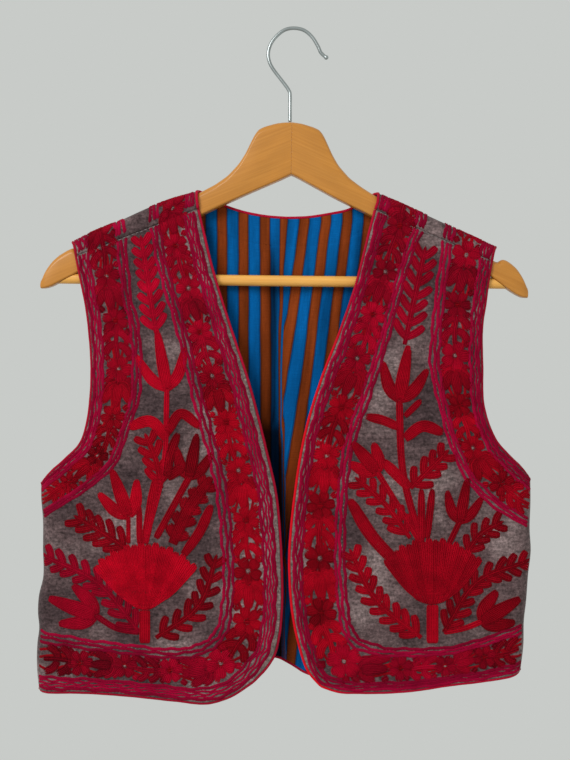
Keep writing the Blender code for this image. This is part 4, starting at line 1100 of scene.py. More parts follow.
fanForm = {
    "samples": 60,
    "footRise": 0.35,
    "bend": (0.4, 0.05),
    "roundFrom": 0.9,       # the petals' tips are rounded from here
    "roundReach": 0.105,
    "narrowest": 0.04,
    "width": 0.56,
    "least": 0.7,
    "lift": (0.20, 0.08),   # every other petal lies higher
    # painted shade on each petal's outermost rows
    "outline": 0.07,
}


def fan(base, foot, petals, tone):
    # wide flower like a bowl, its rows side by side from a rounded foot
    lines = []
    widest = max(abs(angle) for angle, radius in petals)
    belly, bend = fanForm["bend"]
    for angle, radius in petals:
        turn, share = math.radians(angle), angle / widest
        root = np.array(base) + (foot * share, fanForm["footRise"] * foot * share ** 2)
        tip = np.array(base) + np.array((math.sin(turn), math.cos(turn))) * radius
        lines.append(smoothLine(np.array((root, towards(root, tip, belly, bend * share), tip)), fanForm["samples"]))
    lines = np.array(lines)
    gaps = np.linalg.norm(np.diff(lines, axis=0), axis=-1)
    beyond = np.maximum(np.linspace(0.0, 1.0, lines.shape[1]) - fanForm["roundFrom"], 0.0)
    end = np.sqrt(np.clip(1.0 - (beyond / fanForm["roundReach"]) ** 2, fanForm["narrowest"], 1.0))
    low, higher = fanForm["lift"]
    shapes = []
    for number, line in enumerate(lines):
        spread = (gaps[max(number - 1, 0)] + gaps[min(number, len(gaps) - 1)]) / 2.0
        half = np.maximum(spread * fanForm["width"], fanForm["least"]) * end
        lift, petalTone = low + higher * (number % 2), varied(tone, 0.11)
        shapes.append({"line": line, "half": half, "lift": lift, "tone": petalTone, "outline": fanForm["outline"]})
    return shapes


rosetteForm = {
    "start": 0.13,
    "width": 4.45,
    "lift": 0.22,
    "eye": (0.0, 0.45, 0.9),
    "eyeSize": 0.11,
    "knotSize": 0.20,
    "knotLift": 0.4,
}


def rosette(centre, radius, petals, turn, tone, eye):
    # round flower with a pale knot or a darker raised middle
    shapes = []
    for number in range(petals):
        angle = turn + 2.0 * math.pi * number / petals
        ahead = np.array((math.sin(angle), math.cos(angle)))
        start, tip = centre + ahead * radius * rosetteForm["start"], centre + ahead * radius
        width = radius * rosetteForm["width"] / petals
        lift = rosetteForm["lift"] * (number % 2)
        shapes.append(stroke((start, (start + tip) / 2.0, tip), width, "petal", lift, varied(tone, 0.07)))
    size = radius * rosetteForm["eyeSize" if eye else "knotSize"]
    knot = rosetteForm["eye"] if eye else varied(darkRed, 0.08)
    heart = np.array((size, 0.0))
    shapes.append(stroke((centre - heart, centre + heart), size * 2.0, "bowl", rosetteForm["knotLift"], knot))
    return shapes


scarlet, darkRed, crimson = (0.0, 0.55, 0.0), (0.0, 0.35, 0.0), (1.0, 0.5, 0.0)
tones = {
    "dark": darkRed, "wine": (0.45, 0.50, 0.0), "rose": (0.35, 0.63, 0.0),
    "bright": (0.0, 0.74, 0.0), "brightest": (0.0, 0.86, 0.0),
}
ferns = {"fern": (1.12, 42.0), "oak": (1.9, 52.0)}      # width of the stem, opening of the leaves
strokes = {"leaf": (1.24, "arc", 0.1), "stem": (1.34, "even", 0.0)}


def drawMotifs(table):
    rows = []
    for kind, points, *sizes in table:
        tone = tones[sizes.pop()] if isinstance(sizes[-1], str) else scarlet
        tone = cooler(tone, points[1] if kind == "fan" else points[0][1])
        if kind in ferns:
            shapes = fern(points, *sizes, tone, *ferns[kind])
        elif kind == "tulip":
            shapes = tulip(points[0], points[1], points[2:], *sizes, tone)
        elif kind == "fan":
            shapes = fan(points, *sizes, tone)
        else:
            wider, profile, lift = strokes[kind]
            shapes = [stroke(points, sizes[0] * wider, profile, lift, varied(tone))]
        for shape in shapes:
            rows += strokeRows(shape)
    return rows


def arc(foot, tip, bend):
    # plain curved line
    return tuple(foot), tuple(towards(foot, tip, 0.5, bend)), tuple(tip)


def bloom(foot, turn, height, opening=33.0, sidePetal=0.76):
    # foot of a tulip and the tips of its three petals
    tips = []
    for angle, length in ((turn, height), (turn - opening, height * sidePetal), (turn + opening, height * sidePetal)):
        heading = math.radians(angle)
        tips.append((foot[0] + math.sin(heading) * length, foot[1] + math.cos(heading) * length))
    return tuple(foot), *tips


def petalRow(spread, length, count=16):
    # even petals of a fan, every other one a little longer
    angles = np.linspace(-spread, spread, count)
    return tuple((float(angle), length + 2.0 * (number % 2) - 1.0) for number, angle in enumerate(angles))


# Places in mm, x to the right and z up. Each line is a plain arc: its foot, its
# tip and how far it bends.
fieldLeft = (
    ("fern", arc((-125, -280), (-140, -190), 0.00), 13, 4.6, 8, "bright"),
    ("tulip", bloom((-115, -330), -10, 55), 8.8, "bright"),
    ("stem", arc((-115, -330), (-135, -470), -0.05), 3.6, "bright"),
    ("leaf", arc((-115, -375), (-150, -365), 0.30), 8.5, "bright"),
    ("leaf", arc((-115, -370), (-85, -365), -0.50), 7.5, "dark"),
    ("leaf", arc((-115, -410), (-105, -370), -0.05), 7, "dark"),
    ("leaf", arc((-115, -410), (-100, -400), 0.00), 8, "dark"),
    ("tulip", bloom((-95, -410), 10, 40), 9, "dark"),
    ("stem", arc((-95, -410), (-125, -465), 0.00), 4.6, "dark"),
    ("fern", arc((-120, -420), (-135, -370), 0.05), 14, 4.6, 4),
    ("stem", arc((-130, -435), (-125, -410), 0.15), 3.0),
    ("leaf", arc((-135, -470), (-125, -410), 0.00), 7, "bright"),
    ("leaf", arc((-140, -470), (-140, -435), 0.00), 4.5),
    ("tulip", bloom((-150, -445), -20, 45), 10, "bright"),
    ("stem", arc((-150, -445), (-150, -470), 0.00), 3.0),
    ("oak", arc((-110, -470), (-75, -410), -0.05), 11, 6, 5, "dark"),
    ("leaf", arc((-100, -480), (-75, -435), 0.05), 7.5),
    ("fern", arc((-150, -475), (-200, -445), 0.00), 16, 4.8, 5, "dark"),
    ("fern", arc((-140, -550), (-230, -480), 0.10), 14.5, 4.8, 9, "wine"),
    ("tulip", bloom((-180, -535), -70, 45), 11, "rose"),
    ("stem", arc((-180, -535), (-140, -550), 0.10), 4.2, "wine"),
    ("fern", arc((-125, -555), (-70, -480), 0.15), 14, 4.8, 7, "dark"),
    ("stem", arc((-135, -530), (-135, -560), 0.00), 7.4),
    ("fan", (-135, -530), 8.0, petalRow(48, 61), "brightest"),
)
fieldRight = (
    ("fern", arc((100, -290), (120, -200), 0.00), 16, 4.8, 7),
    ("tulip", bloom((95, -340), 10, 50), 9.8),
    ("stem", arc((95, -340), (115, -470), 0.05), 4.8),
    ("leaf", arc((95, -365), (65, -355), 0.05), 7),
    ("leaf", arc((100, -375), (135, -370), -0.25), 8.5),
    ("leaf", arc((100, -355), (115, -340), 0.00), 4.8),
    ("leaf", arc((105, -420), (80, -395), 0.00), 8),
    ("tulip", bloom((75, -405), -40, 35), 10),
    ("stem", arc((75, -405), (115, -470), 0.00), 4.0),
    ("fern", arc((105, -420), (140, -385), 0.00), 14, 4.8, 4),
    ("leaf", arc((115, -470), (115, -420), 0.00), 5.5),
    ("leaf", arc((120, -465), (125, -420), 0.00), 5.5),
    ("tulip", bloom((150, -450), 10, 40), 8.4, "dark"),
    ("stem", arc((150, -450), (140, -470), 0.00), 4.0, "dark"),
    ("fern", arc((155, -480), (190, -450), -0.10), 13, 4.6, 4, "dark"),
    ("leaf", arc((95, -490), (50, -430), -0.05), 9.5),
    ("fern", arc((105, -465), (55, -410), 0.05), 13.5, 4.6, 6),
    ("fern", arc((135, -550), (215, -485), -0.15), 13.5, 4.8, 9, "dark"),
    ("tulip", bloom((170, -540), 60, 40), 11, "dark"),
    ("stem", arc((170, -540), (135, -550), -0.05), 3.8),
    ("fern", arc((115, -555), (50, -475), -0.10), 13.5, 4.8, 9),
    ("stem", arc((125, -525), (125, -560), 0.00), 8.0),
    ("fan", (125, -525), 13.0, petalRow(46, 60)),
)
# the tall plant in the middle of the back
fieldBack = (
    ("fern", ((-16, -541), (-42, -532), (-65, -516), (-84, -493)), 15, 4.8, 7),
    ("fern", ((0, -541), (20, -531), (32, -515), (40, -496)), 15, 4.8, 5),
    ("stem", ((-8, -545), (-8, -516)), 7.4),
    ("fan", (-8, -520), 12.0, (
        (-52, 55), (-45, 49), (-38, 50), (-30, 48), (-22, 51), (-14, 48), (-7, 51), (0, 49), (7, 52), (14, 48),
        (22, 51), (30, 48), (38, 51), (45, 50), (52, 60),
    )),
    ("stem", ((-8, -468), (-10, -433), (-13, -405), (-12, -377), (-8, -351), (-7, -343)), 4.8),
    ("leaf", ((-8, -452), (10, -438), (22, -412)), 8),
    ("leaf", ((-10, -448), (-34, -436), (-46, -414)), 8),
    ("leaf", ((-12, -424), (4, -410), (12, -390)), 8),
    ("leaf", ((-12, -420), (-32, -410), (-42, -392)), 8),
    ("leaf", ((-12, -383), (8, -372), (22, -352)), 7.5),
    ("leaf", ((-12, -380), (-34, -372), (-44, -352)), 7.5),
    ("tulip", ((-7, -345), (-9, -298), (-30, -312), (14, -312)), 10),
    ("fern", ((-9, -302), (-13, -270), (-18, -228)), 15, 4.6, 6),
)


# Border bands: places on the cloth's edge, then those of the band's inner line.
# Heights on the back run on over the shoulder.
def banded(edges, inner):
    return [(*edge, *place) for edge, place in zip(edges, inner, strict=True)]


bandArmholeLeft = banded(
    (seamLeft[0], (-190.4, -245), (-186, -271), (-183.4, -304), *armholeLeft[5::-1]),
    (
        (-153.7, -191), (-148.2, -244.8), (-141, -271.1), (-138.2, -303.8), (-140.1, -340.2), (-148.2, -362),
        (-159.1, -393.8), (-176.4, -412.9), (-203, -431), (-229.1, -447.4),
    ),
)
bandEdgeLeft = banded(
    (seamLeft[1], *frontEdgeLeft[11:6:-1], *frontEdgeLeft[5:1:-1], *hemLeft[::-1]),
    (
        (-131, -182), (-124, -220), (-105.7, -281), (-93.3, -334), (-76.6, -397), (-69.3, -436), (-64.6, -495),
        (-66, -526), (-69, -542), (-73, -551), (-80, -557.5), (-88.5, -561.5), (-100, -563.8), (-117, -564.5),
        (-153, -561), (-187.3, -557.1), (-232, -549.2),
    ),
)
bandArmholeRight = banded(
    (seamRight[0], (173.6, -250), (170.6, -283), *armholeRight[6::-1]),
    (
        (135.7, -193.4), (128, -250), (124.1, -283), (123, -311), (131.4, -346), (137, -368), (146.2, -394),
        (159.8, -418), (183, -438.8), (213.4, -456.9),
    ),
)
bandEdgeRight = banded(
    (seamRight[1], (65.6, -205), *frontEdgeRight[10:6:-1], *frontEdgeRight[5::-1], *hemRight[6:1:-1], hemRight[0]),
    (
        (117.8, -185.4), (104.4, -219), (84.2, -291), (69.7, -336), (53.5, -385), (47.6, -434), (46.2, -486),
        (47.5, -508), (49.6, -532), (52.5, -545), (56.7, -552.8), (63.5, -557.8), (73.5, -561.4), (87.1, -564.6),
        (119.8, -564.6), (146.2, -562.3), (173.4, -554.6), (208.4, -543.5),
    ),
)
bandBackArmholeLeft = banded(
    (
        *armholeLeft[:7], (-184.6, -284), (-188, -254), (-191.6, -230), (-201, -204), (-202.6, -190.3),
        (-198.6, -173.9), (-198.2, -167),
    ),
    (
        (-229, -447), (-205.5, -434), (-181, -415), (-163, -394), (-150, -362), (-143, -341), (-142, -302),
        (-143, -284), (-147, -254), (-150, -228), (-156, -184), (-157, -169), (-155, -155), (-153.7, -146.6),
    ),
)
bandBackArmholeRight = banded(
    (
        *armholeRight[:8], (172.8, -253), (174, -230), (182.6, -207.8), (184.4, -194.2), (180.4, -177.9),
        (179.6, -170.1),
    ),
    (
        (213, -452), (182, -436), (162, -415), (148, -392), (136, -364), (130, -346), (127, -311), (127, -267),
        (129, -253), (131, -228), (138, -187), (139, -172), (137.5, -158), (135.7, -150.5),
    ),
)
bandBackNeck = banded(
    (
        (-88.8, -123.1), (-89.8, -130.1), (-90.4, -144.8), (-80, -155), *backNeck[1:8], (69, -155.8), (78.7, -145.8),
        (77.6, -130.8), (75.2, -122.5),
    ),
    (
        (-131, -135.4), (-132, -144), (-132, -158.4), (-128, -175), (-106, -203), (-72, -212), (-38, -214.5),
        (-4, -215), (26, -214.5), (60, -211), (92, -203), (117, -177), (121, -164), (120, -151), (117.8, -142.1),
    ),
)
bandBackHem = banded(
    backHem,
    (
        (-231, -552), (-190, -555), (-120, -555), (-60, -550), (-30, -548), (-14, -548), (2, -550), (16, -552),
        (42, -554), (100, -553), (160, -549), (209, -543),
    ),
)

border = {
    "wide": (0.088, 0.280, 5),      # outer strip: from, to in shares of the width, and its lines
    "slim": (0.060, 0.205, 4),
    "close": (0.045, 0.215, 4),     # right beside the armholes
    "hemTop": -578.0,
    "hemFade": 24.0,
    "hemFirst": 0.046,
    "inner": (0.822, 0.902, 0.985),
    "zoneEnd": 0.795,               # the flowers lie between the strip and here
    "zoneGap": 0.030,
    "lineWidth": 3.3,
    "waver": (0.011, 5.3, 2.3),     # size and the lengths of its two waves
    "waverTurns": (40.0, 90.0),
    "waveWidth": 2.2,
    "waveSway": 0.012,
    "waveSteps": (1.9, 2.7),
    "waveSwells": (5.0, 9.0),
    "waveStitch": 2.9,
    "ground": ((-0.12, 0.05, 7.3), (0.0, 0.07, 9.0), (0.12, 0.05, 6.1)),     # lines behind the flowers
    "groundWidth": 3.0,
    "pale": (0.045, 0.945),         # small pale stitches
    "paleEvery": 3.8,
    "paleLength": (1.4, 2.4),
    "paleWidth": 0.7,
    "paleTone": (0.15, 0.45),
    "paleSway": 0.008,
    "first": 5.0,                   # places of the first and the last flower
    "last": 4.0,
    "cell": 1.82,                   # spacing of the flowers in half widths
    "cellSway": (0.95, 1.03),
}


def makeBand(table):
    table = np.array(table, dtype=float)
    samples = 60 * len(table)
    edge, inner = smoothLine(table[:, :2], samples), smoothLine(table[:, 2:], samples)
    return {"edge": edge, "inner": inner, "along": lengthAlong((edge + inner) / 2.0)}


def bandPoint(band, distance, share):
    index = np.interp(distance, band["along"], np.arange(len(band["along"])))
    where = np.arange(len(band["along"]))
    edge, inner = readAt(index, where, band["edge"]), readAt(index, where, band["inner"])
    share = np.asarray(share, dtype=float)[..., None]
    return edge + (inner - edge) * share


def bandRows(table, kind):
    band = makeBand(table)
    length = band["along"][-1]
    first, last, lines = border[kind]
    rows = []
    along = np.linspace(1.0, length - 1.0, int(length / thread["sample"]))
    # the strip runs closer to the cloth's edge along the hem
    closer = smoothStep((border["hemTop"] - bandPoint(band, along, 0.0)[:, 1]) / border["hemFade"])
    closer *= max(first - border["hemFirst"], 0.0)
    (size, long, short), (longTurn, shortTurn) = border["waver"], border["waverTurns"]
    for share in (first, last, *border["inner"]):
        waver = np.sin(along / long + share * longTurn) + 0.7 * np.sin(along / short + share * shortTurn)
        outer = 1.0 if share <= last else 0.0
        line = bandPoint(band, along, share + size * waver - closer * outer)
        rows.append(chainRow(line, border["lineWidth"], varied(crimson)))
    for share in np.linspace(first, last, lines)[1:-1]:
        sway = np.sin(along / rng.uniform(*border["waveSteps"]) + rng.uniform(0.0, 6.0))
        sway *= 1.0 + 0.5 * np.sin(along / rng.uniform(*border["waveSwells"]))
        line = bandPoint(band, along, share + border["waveSway"] * sway - closer)
        rows.append(chainRow(line, border["waveWidth"], varied(crimson, 0.22), 0.85, stitch=border["waveStitch"]))
    for share in border["pale"][kind == "close":]:
        for start in np.arange(1.0, length - 3.0, border["paleEvery"]):
            dash = np.linspace(start, start + rng.uniform(*border["paleLength"]), 3)
            line = bandPoint(band, dash, share + rng.uniform(-border["paleSway"], border["paleSway"]))
            rows.append(chainRow(line, border["paleWidth"], (0.0, rng.uniform(*border["paleTone"]), 0.9), 0.5))
    low, high = last + border["zoneGap"], border["zoneEnd"]
    middle = (low + high) / 2.0
    for offset, swing, step in border["ground"]:
        line = bandPoint(band, along, middle + offset + swing * np.sin(along / step))
        rows.append(chainRow(line, border["groundWidth"], varied(darkRed, 0.1), 0.7))
    here, number = border["first"], int(rng.integers(0, 4))
    while here < length - border["last"]:
        centre = bandPoint(band, here, middle)
        ahead = bandPoint(band, here + 1.0, middle) - bandPoint(band, here - 1.0, middle)
        ahead /= np.linalg.norm(ahead)
        across = bandPoint(band, here, high) - bandPoint(band, here, low)
        half = float(np.linalg.norm(across)) / 2.0
        across /= 2.0 * half
        for shape in bandMotif(number % 4, centre, ahead * half, across * half, half):
            rows += strokeRows(shape)
        here += border["cell"] * half * rng.uniform(*border["cellSway"])
        number += 1
    return rows


# Leaves of the border's flowers, in half widths of its zone: ahead, across.
roundLeaves = (
    ((0.62, -0.62), (1.0, -0.98)), ((0.66, 0.66), (1.05, 0.98)),
    ((-0.66, -0.66), (-1.02, -0.96)), ((-0.62, 0.70), (-0.98, 1.0)),
)
tulipPlaces = ((-0.72, -0.05), (0.98, 0.08), (0.66, 1.0), (0.70, -1.0))
tulipLeaves = (
    ((-1.0, 0.05), (-0.80, 0.66), (-0.18, 1.0)), ((-1.0, -0.15), (-0.82, -0.72), (-0.22, -1.0)),
    ((-1.05, 0.0), (-0.7, 0.0)),
)
sprigStem = ((-1.05, 0.0), (0.0, 0.08), (1.05, 0.0))
sprigLeaves = (
    ((-0.95, 0.0), (-0.70, 0.60), (-0.10, 0.98)), ((-0.10, 0.05), (0.20, 0.62), (0.80, 0.98)),
    ((-0.95, -0.05), (-0.62, -0.62), (0.0, -0.98)), ((0.0, -0.05), (0.32, -0.60), (0.92, -0.96)),
)


def bandMotif(kind, centre, ahead, across, half):
    # one flower of the border
    flip = 1.0 if rng.random() < 0.5 else -1.0

    def laid(places):
        return [centre + ahead * a + across * c * flip for a, c in places]

    # the thread is darker beside the armholes
    out, reach, darker = shading["armhole"]
    worn = (0.0, scarlet[1] - darker * float(smoothStep((abs(centre[0]) - out) / reach)), 0.0)
    tone = varied(cooler(worn, centre[1]), 0.22)
    leafTone = varied(cooler(worn, centre[1]), 0.22)
    width = half * (0.60 if kind == 3 else 0.46)
    if kind in (0, 2):
        turn, leaves = rng.uniform(0.0, 1.2), roundLeaves
        shapes = rosette(laid([(0.0, 0.06)])[0], half, 5 + kind // 2, turn, tone, kind == 0)
    elif kind == 1:
        foot, tip, *sides = laid(tulipPlaces)
        shapes, leaves = tulip(foot, tip, sides, half * 0.70, tone), tulipLeaves
    else:
        shapes, leaves = [stroke(laid(sprigStem), half * 0.34, "even", 0.2, leafTone)], sprigLeaves
    for leaf in leaves:
        shapes.append(stroke(laid(leaf), width, "finger", 0.0, varied(leafTone, 0.08)))
    return shapes


# Cloth panels: velvet outside, striped lining inside.
frontPanels = {"left": leftFront, "right": rightFront}
fronts, back = {side: frontGrid(panel) for side, panel in frontPanels.items()}, backGrid()

liningPlan = {
    "inset": 10,            # columns left bare beside the side seams
    "below": 5,             # rows left bare above the hem
    "above": 10,            # and below the neck
    "clear": 0.3,
    "lean": 0.128,          # stripes to the right of the main fold run aslant
    "leanTop": -175.0,
    "foldPlace": -10.5,
    "foldWidth": 3.5,
    "shift": 3.3,           # and to the left of it they lie further over
    "shiftPlace": -6.0,
    "shiftWidth": 12.0,
    "edgeRows": 7.0,        # the lining thins out towards its edges
    "looseRows": 14.0,
    "firstRow": 0.6,
}
# the lining hangs looser than the velvet: x, z to x, z, half width, height
liningFolds = (
    (-12, -250, 4, -600, 9, 5), (-30, -300, -34, -600, 7, 3.4), (18, -184, 30, -420, 8, 2),
    (-40, -196, -54, -420, 9, 1.8), (50, -260, 46, -590, 12, 2.4), (-92, -260, -98, -580, 16, 2.4),
    (104, -250, 112, -570, 16, 2.2), (-150, -420, -140, -590, 10, 1.6), (160, -430, 150, -580, 10, 1.6),
)


def clothArea(piece):
    # one side of a closed wall of cloth
    return sum(face.area for face in piece.data.polygons) / 2.0


def stripeCoordinates(flat):
    x, z = flat[..., 0], flat[..., 1]
    fromTop = np.maximum(liningPlan["leanTop"] - z, 0.0)
    lean = liningPlan["lean"] * fromTop * smoothStep((x - liningPlan["foldPlace"]) / liningPlan["foldWidth"])
    shift = liningPlan["shift"] * smoothStep((liningPlan["shiftPlace"] - x) / liningPlan["shiftWidth"])
    return stacked(x + lean - shift, z)


# Places of the velvet with worn nap and painted light and shade: x, z, reach, amount.
wornNapAndPaintedLightFront = ((150.0, -505.0, 60.0, 0.16), (-84.0, -530.0, 36.0, 0.12), (-200.0, -500.0, 40.0, -0.10))
wornNapAndPaintedLightBack = ((-40.0, -470.0, 70.0, 0.10), (90.0, -300.0, 60.0, -0.06))
wornAndPaintedSheenEdge = {"samples": 240, "width": 6.5, "fade": 2.5, "hem": 0.75}     # the hem's is that much weaker


def wornNapAndPaintedLight(flat, places):
    x, z = flat[..., 0], flat[..., 1]
    total = np.full(x.shape, 0.5)
    for placeX, placeZ, reach, amount in places:
        total += amount * np.exp(-((x - placeX) ** 2 + (z - placeZ) ** 2) / reach ** 2)
    return np.clip(total, 0.0, 1.0)


def wornAndPaintedSheenStrip(flat, panel):
    # worn nap with painted sheen: 1 beside a front's edge, 0 from a little further in
    line = np.vstack([sampled(panel[name], wornAndPaintedSheenEdge["samples"]) for name in ("edge", "hem")])
    away = np.array([np.sqrt(((line - point) ** 2).sum(axis=1).min()) for point in flat.reshape(-1, 2)])
    strip = smoothStep((wornAndPaintedSheenEdge["width"] - away) / wornAndPaintedSheenEdge["fade"]).reshape(flat.shape[:-1])
    return strip * (1.0 - wornAndPaintedSheenEdge["hem"] * smoothStep((border["hemTop"] - flat[..., 1]) / border["hemFade"]))


# Painted shade in the hollows between the lining's folds: x, half width, top, fade, depth.
paintedFoldShades = (
    (-20, 5.2, -172, 62, 1), (-10.8, 1.8, -230, 60, 0.45), (-58, 3, -190, 60, 0.3), (-34.5, 1.8, -185, 40, 0.25),
    (12.5, 1.6, -180, 40, 0.3), (44, 3.2, -185, 40, 0.35), (62, 5, -172, 20, 0.45), (-78, 6, -172, 20, 0.45),
    (26, 1.6, -200, 60, 0.25),
)
# Painted shadow of the left front on the lining behind it: its left, right and upper end, each with its fade.
paintedDeepShadow = (-80.0, 25.0, -8.5, 2.0, -350.0, 22.0)


def deepShade(flat):
    # painted shade, 0 to 1: the left front's shadow on the lining and the fold hollows
    x, z = flat[..., 0], flat[..., 1]
    left, leftFade, right, rightFade, top, topFade = paintedDeepShadow
    beside = smoothStep((right - x) / rightFade) * smoothStep((x - left) / leftFade)
    total = beside * smoothStep((top - z) / topFade)
    for place, halfWidth, top, fade, depth in paintedFoldShades:
        total = np.maximum(total, depth * np.exp(-((x - place) / halfWidth) ** 2) * smoothStep((top - z) / fade))
    return total


def clothPiece(name, node, kind, grid, shades, mask=None):
    # wall of cloth; its shades are the worn strip with painted sheen, the worn nap with painted light and shade, and
    # the painted shade of the hollows
    if mask is None:
        mask = np.ones(np.array(grid["outer"].shape[:2]) - 1, dtype=bool)
    finishes = [velvet if kind == "velvet" else lining, lining]
    flat = stripeCoordinates(grid["flat"])
    piece = shell(name, grid["outer"], grid["inner"], flat, mask, finishes, stacked(*shades))
    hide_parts(node)
    return piece


def makeFrontPiece(side):
    grid = fronts[side]
    # worn nap with painted sheen beside the edges, and worn nap with painted light and shade
    shades = (wornAndPaintedSheenStrip(grid["flat"], frontPanels[side]), wornNapAndPaintedLight(grid["flat"], wornNapAndPaintedLightFront), 0.0)
    return clothPiece("velvetFront" + side.capitalize(), "front_" + side, "velvet", grid, shades)


def makeBackPiece():
    mask = np.ones(np.array(back["outer"].shape[:2]) - 1, dtype=bool)
    mask[back["bodyRows"] - 1:, back["strapColumns"]:-back["strapColumns"]] = False
    # worn nap with painted light and shade outside, and the painted shade of the hollows on the lining side
    shades = (0.0, wornNapAndPaintedLight(back["flat"], wornNapAndPaintedLightBack), deepShade(back["flat"]))
    return clothPiece("velvetBack", "back", "velvet", back, shades, mask)


def makeLiningPiece():
    rows, columns = back["plain"].shape[:2]
    down = slice(liningPlan["below"], rows - liningPlan["above"])
    over = slice(liningPlan["inset"], columns - liningPlan["inset"])
    plain, normals = back["plain"][down, over], back["normals"][down, over]
    flat = back["flat"][:rows][down, over]
    x, z = flat[..., 0], flat[..., 1]
    # loose folds die out towards the lining's edges
    row, column = np.indices(x.shape)
    fromEdge = np.minimum.reduce((row, x.shape[0] - 1 - row, column, x.shape[1] - 1 - column))
    loose = np.maximum(foldHeight(x, z, liningFolds), 0.0) * smoothStep(fromEdge / liningPlan["looseRows"])
    rise = smoothStep((fromEdge + liningPlan["firstRow"]) / liningPlan["edgeRows"])
    offset = vest["backWall"] + liningPlan["clear"] * rise + loose
    outer = plain - normals * offset[..., None]
    grid = {"flat": flat, "outer": outer, "inner": outer - normals * (vest["liningWall"] * rise)[..., None]}
    return clothPiece("backLining", "lining_back", "lining", grid, (0.0, 0.5, deepShade(flat)))


panels = {side: makeFrontPiece(side) for side in ("left", "right")}
panels["back"] = makeBackPiece()
panels["lining"] = makeLiningPiece()
print("cloth made", [len(piece.data.polygons) for piece in panels.values()])

# Corded piping along the edges.
piping = {
    "radius": 1.35,
    "gap": -0.25,
    "sides": 10,
    "step": 2.2,
    "swells": ((0.03, 3.1), (0.02, 1.3)),   # the cord is a little uneven
    "fade": 60.0,           # reach of the change of tone
    "hem": 55.0,
    "hemFade": 30.0,
}


def edgePath(grid, row, column, up, over):
    # centre line of the cord outside a row of grid places; up and over lead inwards
    outer, inner = grid["outer"][row, column], grid["inner"][row, column]
    run = unit(np.gradient(inner, axis=0))
    out = inner - grid["inner"][row + up, column + over]
    out = unit(out - (out * run).sum(axis=1, keepdims=True) * run)
    return inner + unit(outer - inner) * piping["radius"] + out * (piping["radius"] + piping["gap"])


def evenPath(path, closed):
    # even steps along a path, with its corners softened a little
    if closed:
        path = np.vstack((path, path[:1]))
    along = lengthAlong(path)
    count = int(along[-1] / piping["step"])
    at = np.linspace(0.0, along[-1], count + 1)
    even = readAt(at, along, path)
    if closed:
        even = even[:-1]
        return (np.roll(even, 1, axis=0) + 2.0 * even + np.roll(even, -1, axis=0)) / 4.0
    even[1:-1] = (even[:-2] + 2.0 * even[1:-1] + even[2:]) / 4.0
    return even


def cord(name, path, closed=False, tone=(0.0, 0.5, 0.0), lower=None):
    path = evenPath(path, closed)
    radii = piping["radius"] * sum((size * np.sin(lengthAlong(path) / step) for size, step in piping["swells"]), 1.0)
    if lower is not None:
        below = smoothStep((lower[0] - path[:, 2]) / piping["fade"])
        below *= smoothStep((piping["hem"] - path[:, 0]) / piping["hemFade"])
        tone = np.array(tone) + (np.array(lower[1]) - tone) * below[:, None]
    piece = tube(name, path, radii, piping["sides"], redPiping, closed, tone)
    return piece


def frontEdgePath(grid):
    # from the shoulder down the front's edge, then along the hem
    rows, last = grid["outer"].shape[0], grid["outer"].shape[1] - 1
    row = np.concatenate((np.arange(rows - 1, 0, -1), np.zeros(last + 1, dtype=int)))
    column = np.concatenate((np.full(rows - 1, last), np.arange(last, -1, -1)))
    return edgePath(grid, row, column, 1 * (row == 0), -1 * (column == last))


def frontArmholePath(grid):
    return edgePath(grid, np.arange(grid["seamRows"] - 1, grid["outer"].shape[0]), 0, 0, 1)


def backArmholePath(column, step):
    return edgePath(back, np.arange(back["outer"].shape[0] - 1, back["seamRows"] - 2, -1), column, 0, step)


def neckPath():
    rows, columns = back["outer"].shape[:2]
    left, top = back["strapColumns"], back["bodyRows"] - 1
    right, down = columns - 1 - left, np.arange(top, rows)
    row = np.concatenate((down[::-1], np.full(right - left - 1, top), down))
    column = np.concatenate((np.full(len(down), left), np.arange(left + 1, right), np.full(len(down), right)))
    return edgePath(back, row, column, -1 * (row == top), 1 * (column == right) - 1 * (column == left))


def joinedLoop(front, rear):
    underarm, shoulder = (front[0] + rear[-1]) / 2.0, (front[-1] + rear[0]) / 2.0
    return np.vstack((underarm[None], front[1:-1], shoulder[None], rear[1:-1]))


lastColumn = back["outer"].shape[1] - 1
cords = {
    "piping_front_left": cord("cordFrontLeft", frontEdgePath(fronts["left"]), lower=(-290.0, (0.0, 0.3, 0.0))),
    "piping_front_right": cord("cordFrontRight", frontEdgePath(fronts["right"]), lower=(-170.0, (0.8, 0.5, 0.0))),
    "piping_neck": cord("cordNeck", neckPath()),
    "piping_hem_back": cord("cordHemBack", edgePath(back, 0, np.arange(lastColumn + 1), 1, 0)),
    "piping_armhole_left": cord(
        "cordArmholeLeft", joinedLoop(frontArmholePath(fronts["left"]), backArmholePath(0, 1)), True, (0.0, 0.3, 0.0),
    ),
    "piping_armhole_right": cord(
        "cordArmholeRight", joinedLoop(frontArmholePath(fronts["right"]), backArmholePath(lastColumn, -1)), True,
        (0.0, 0.2, 0.0),
    ),
}
for node, piece in cords.items():
    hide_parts(node)
print("cords made")

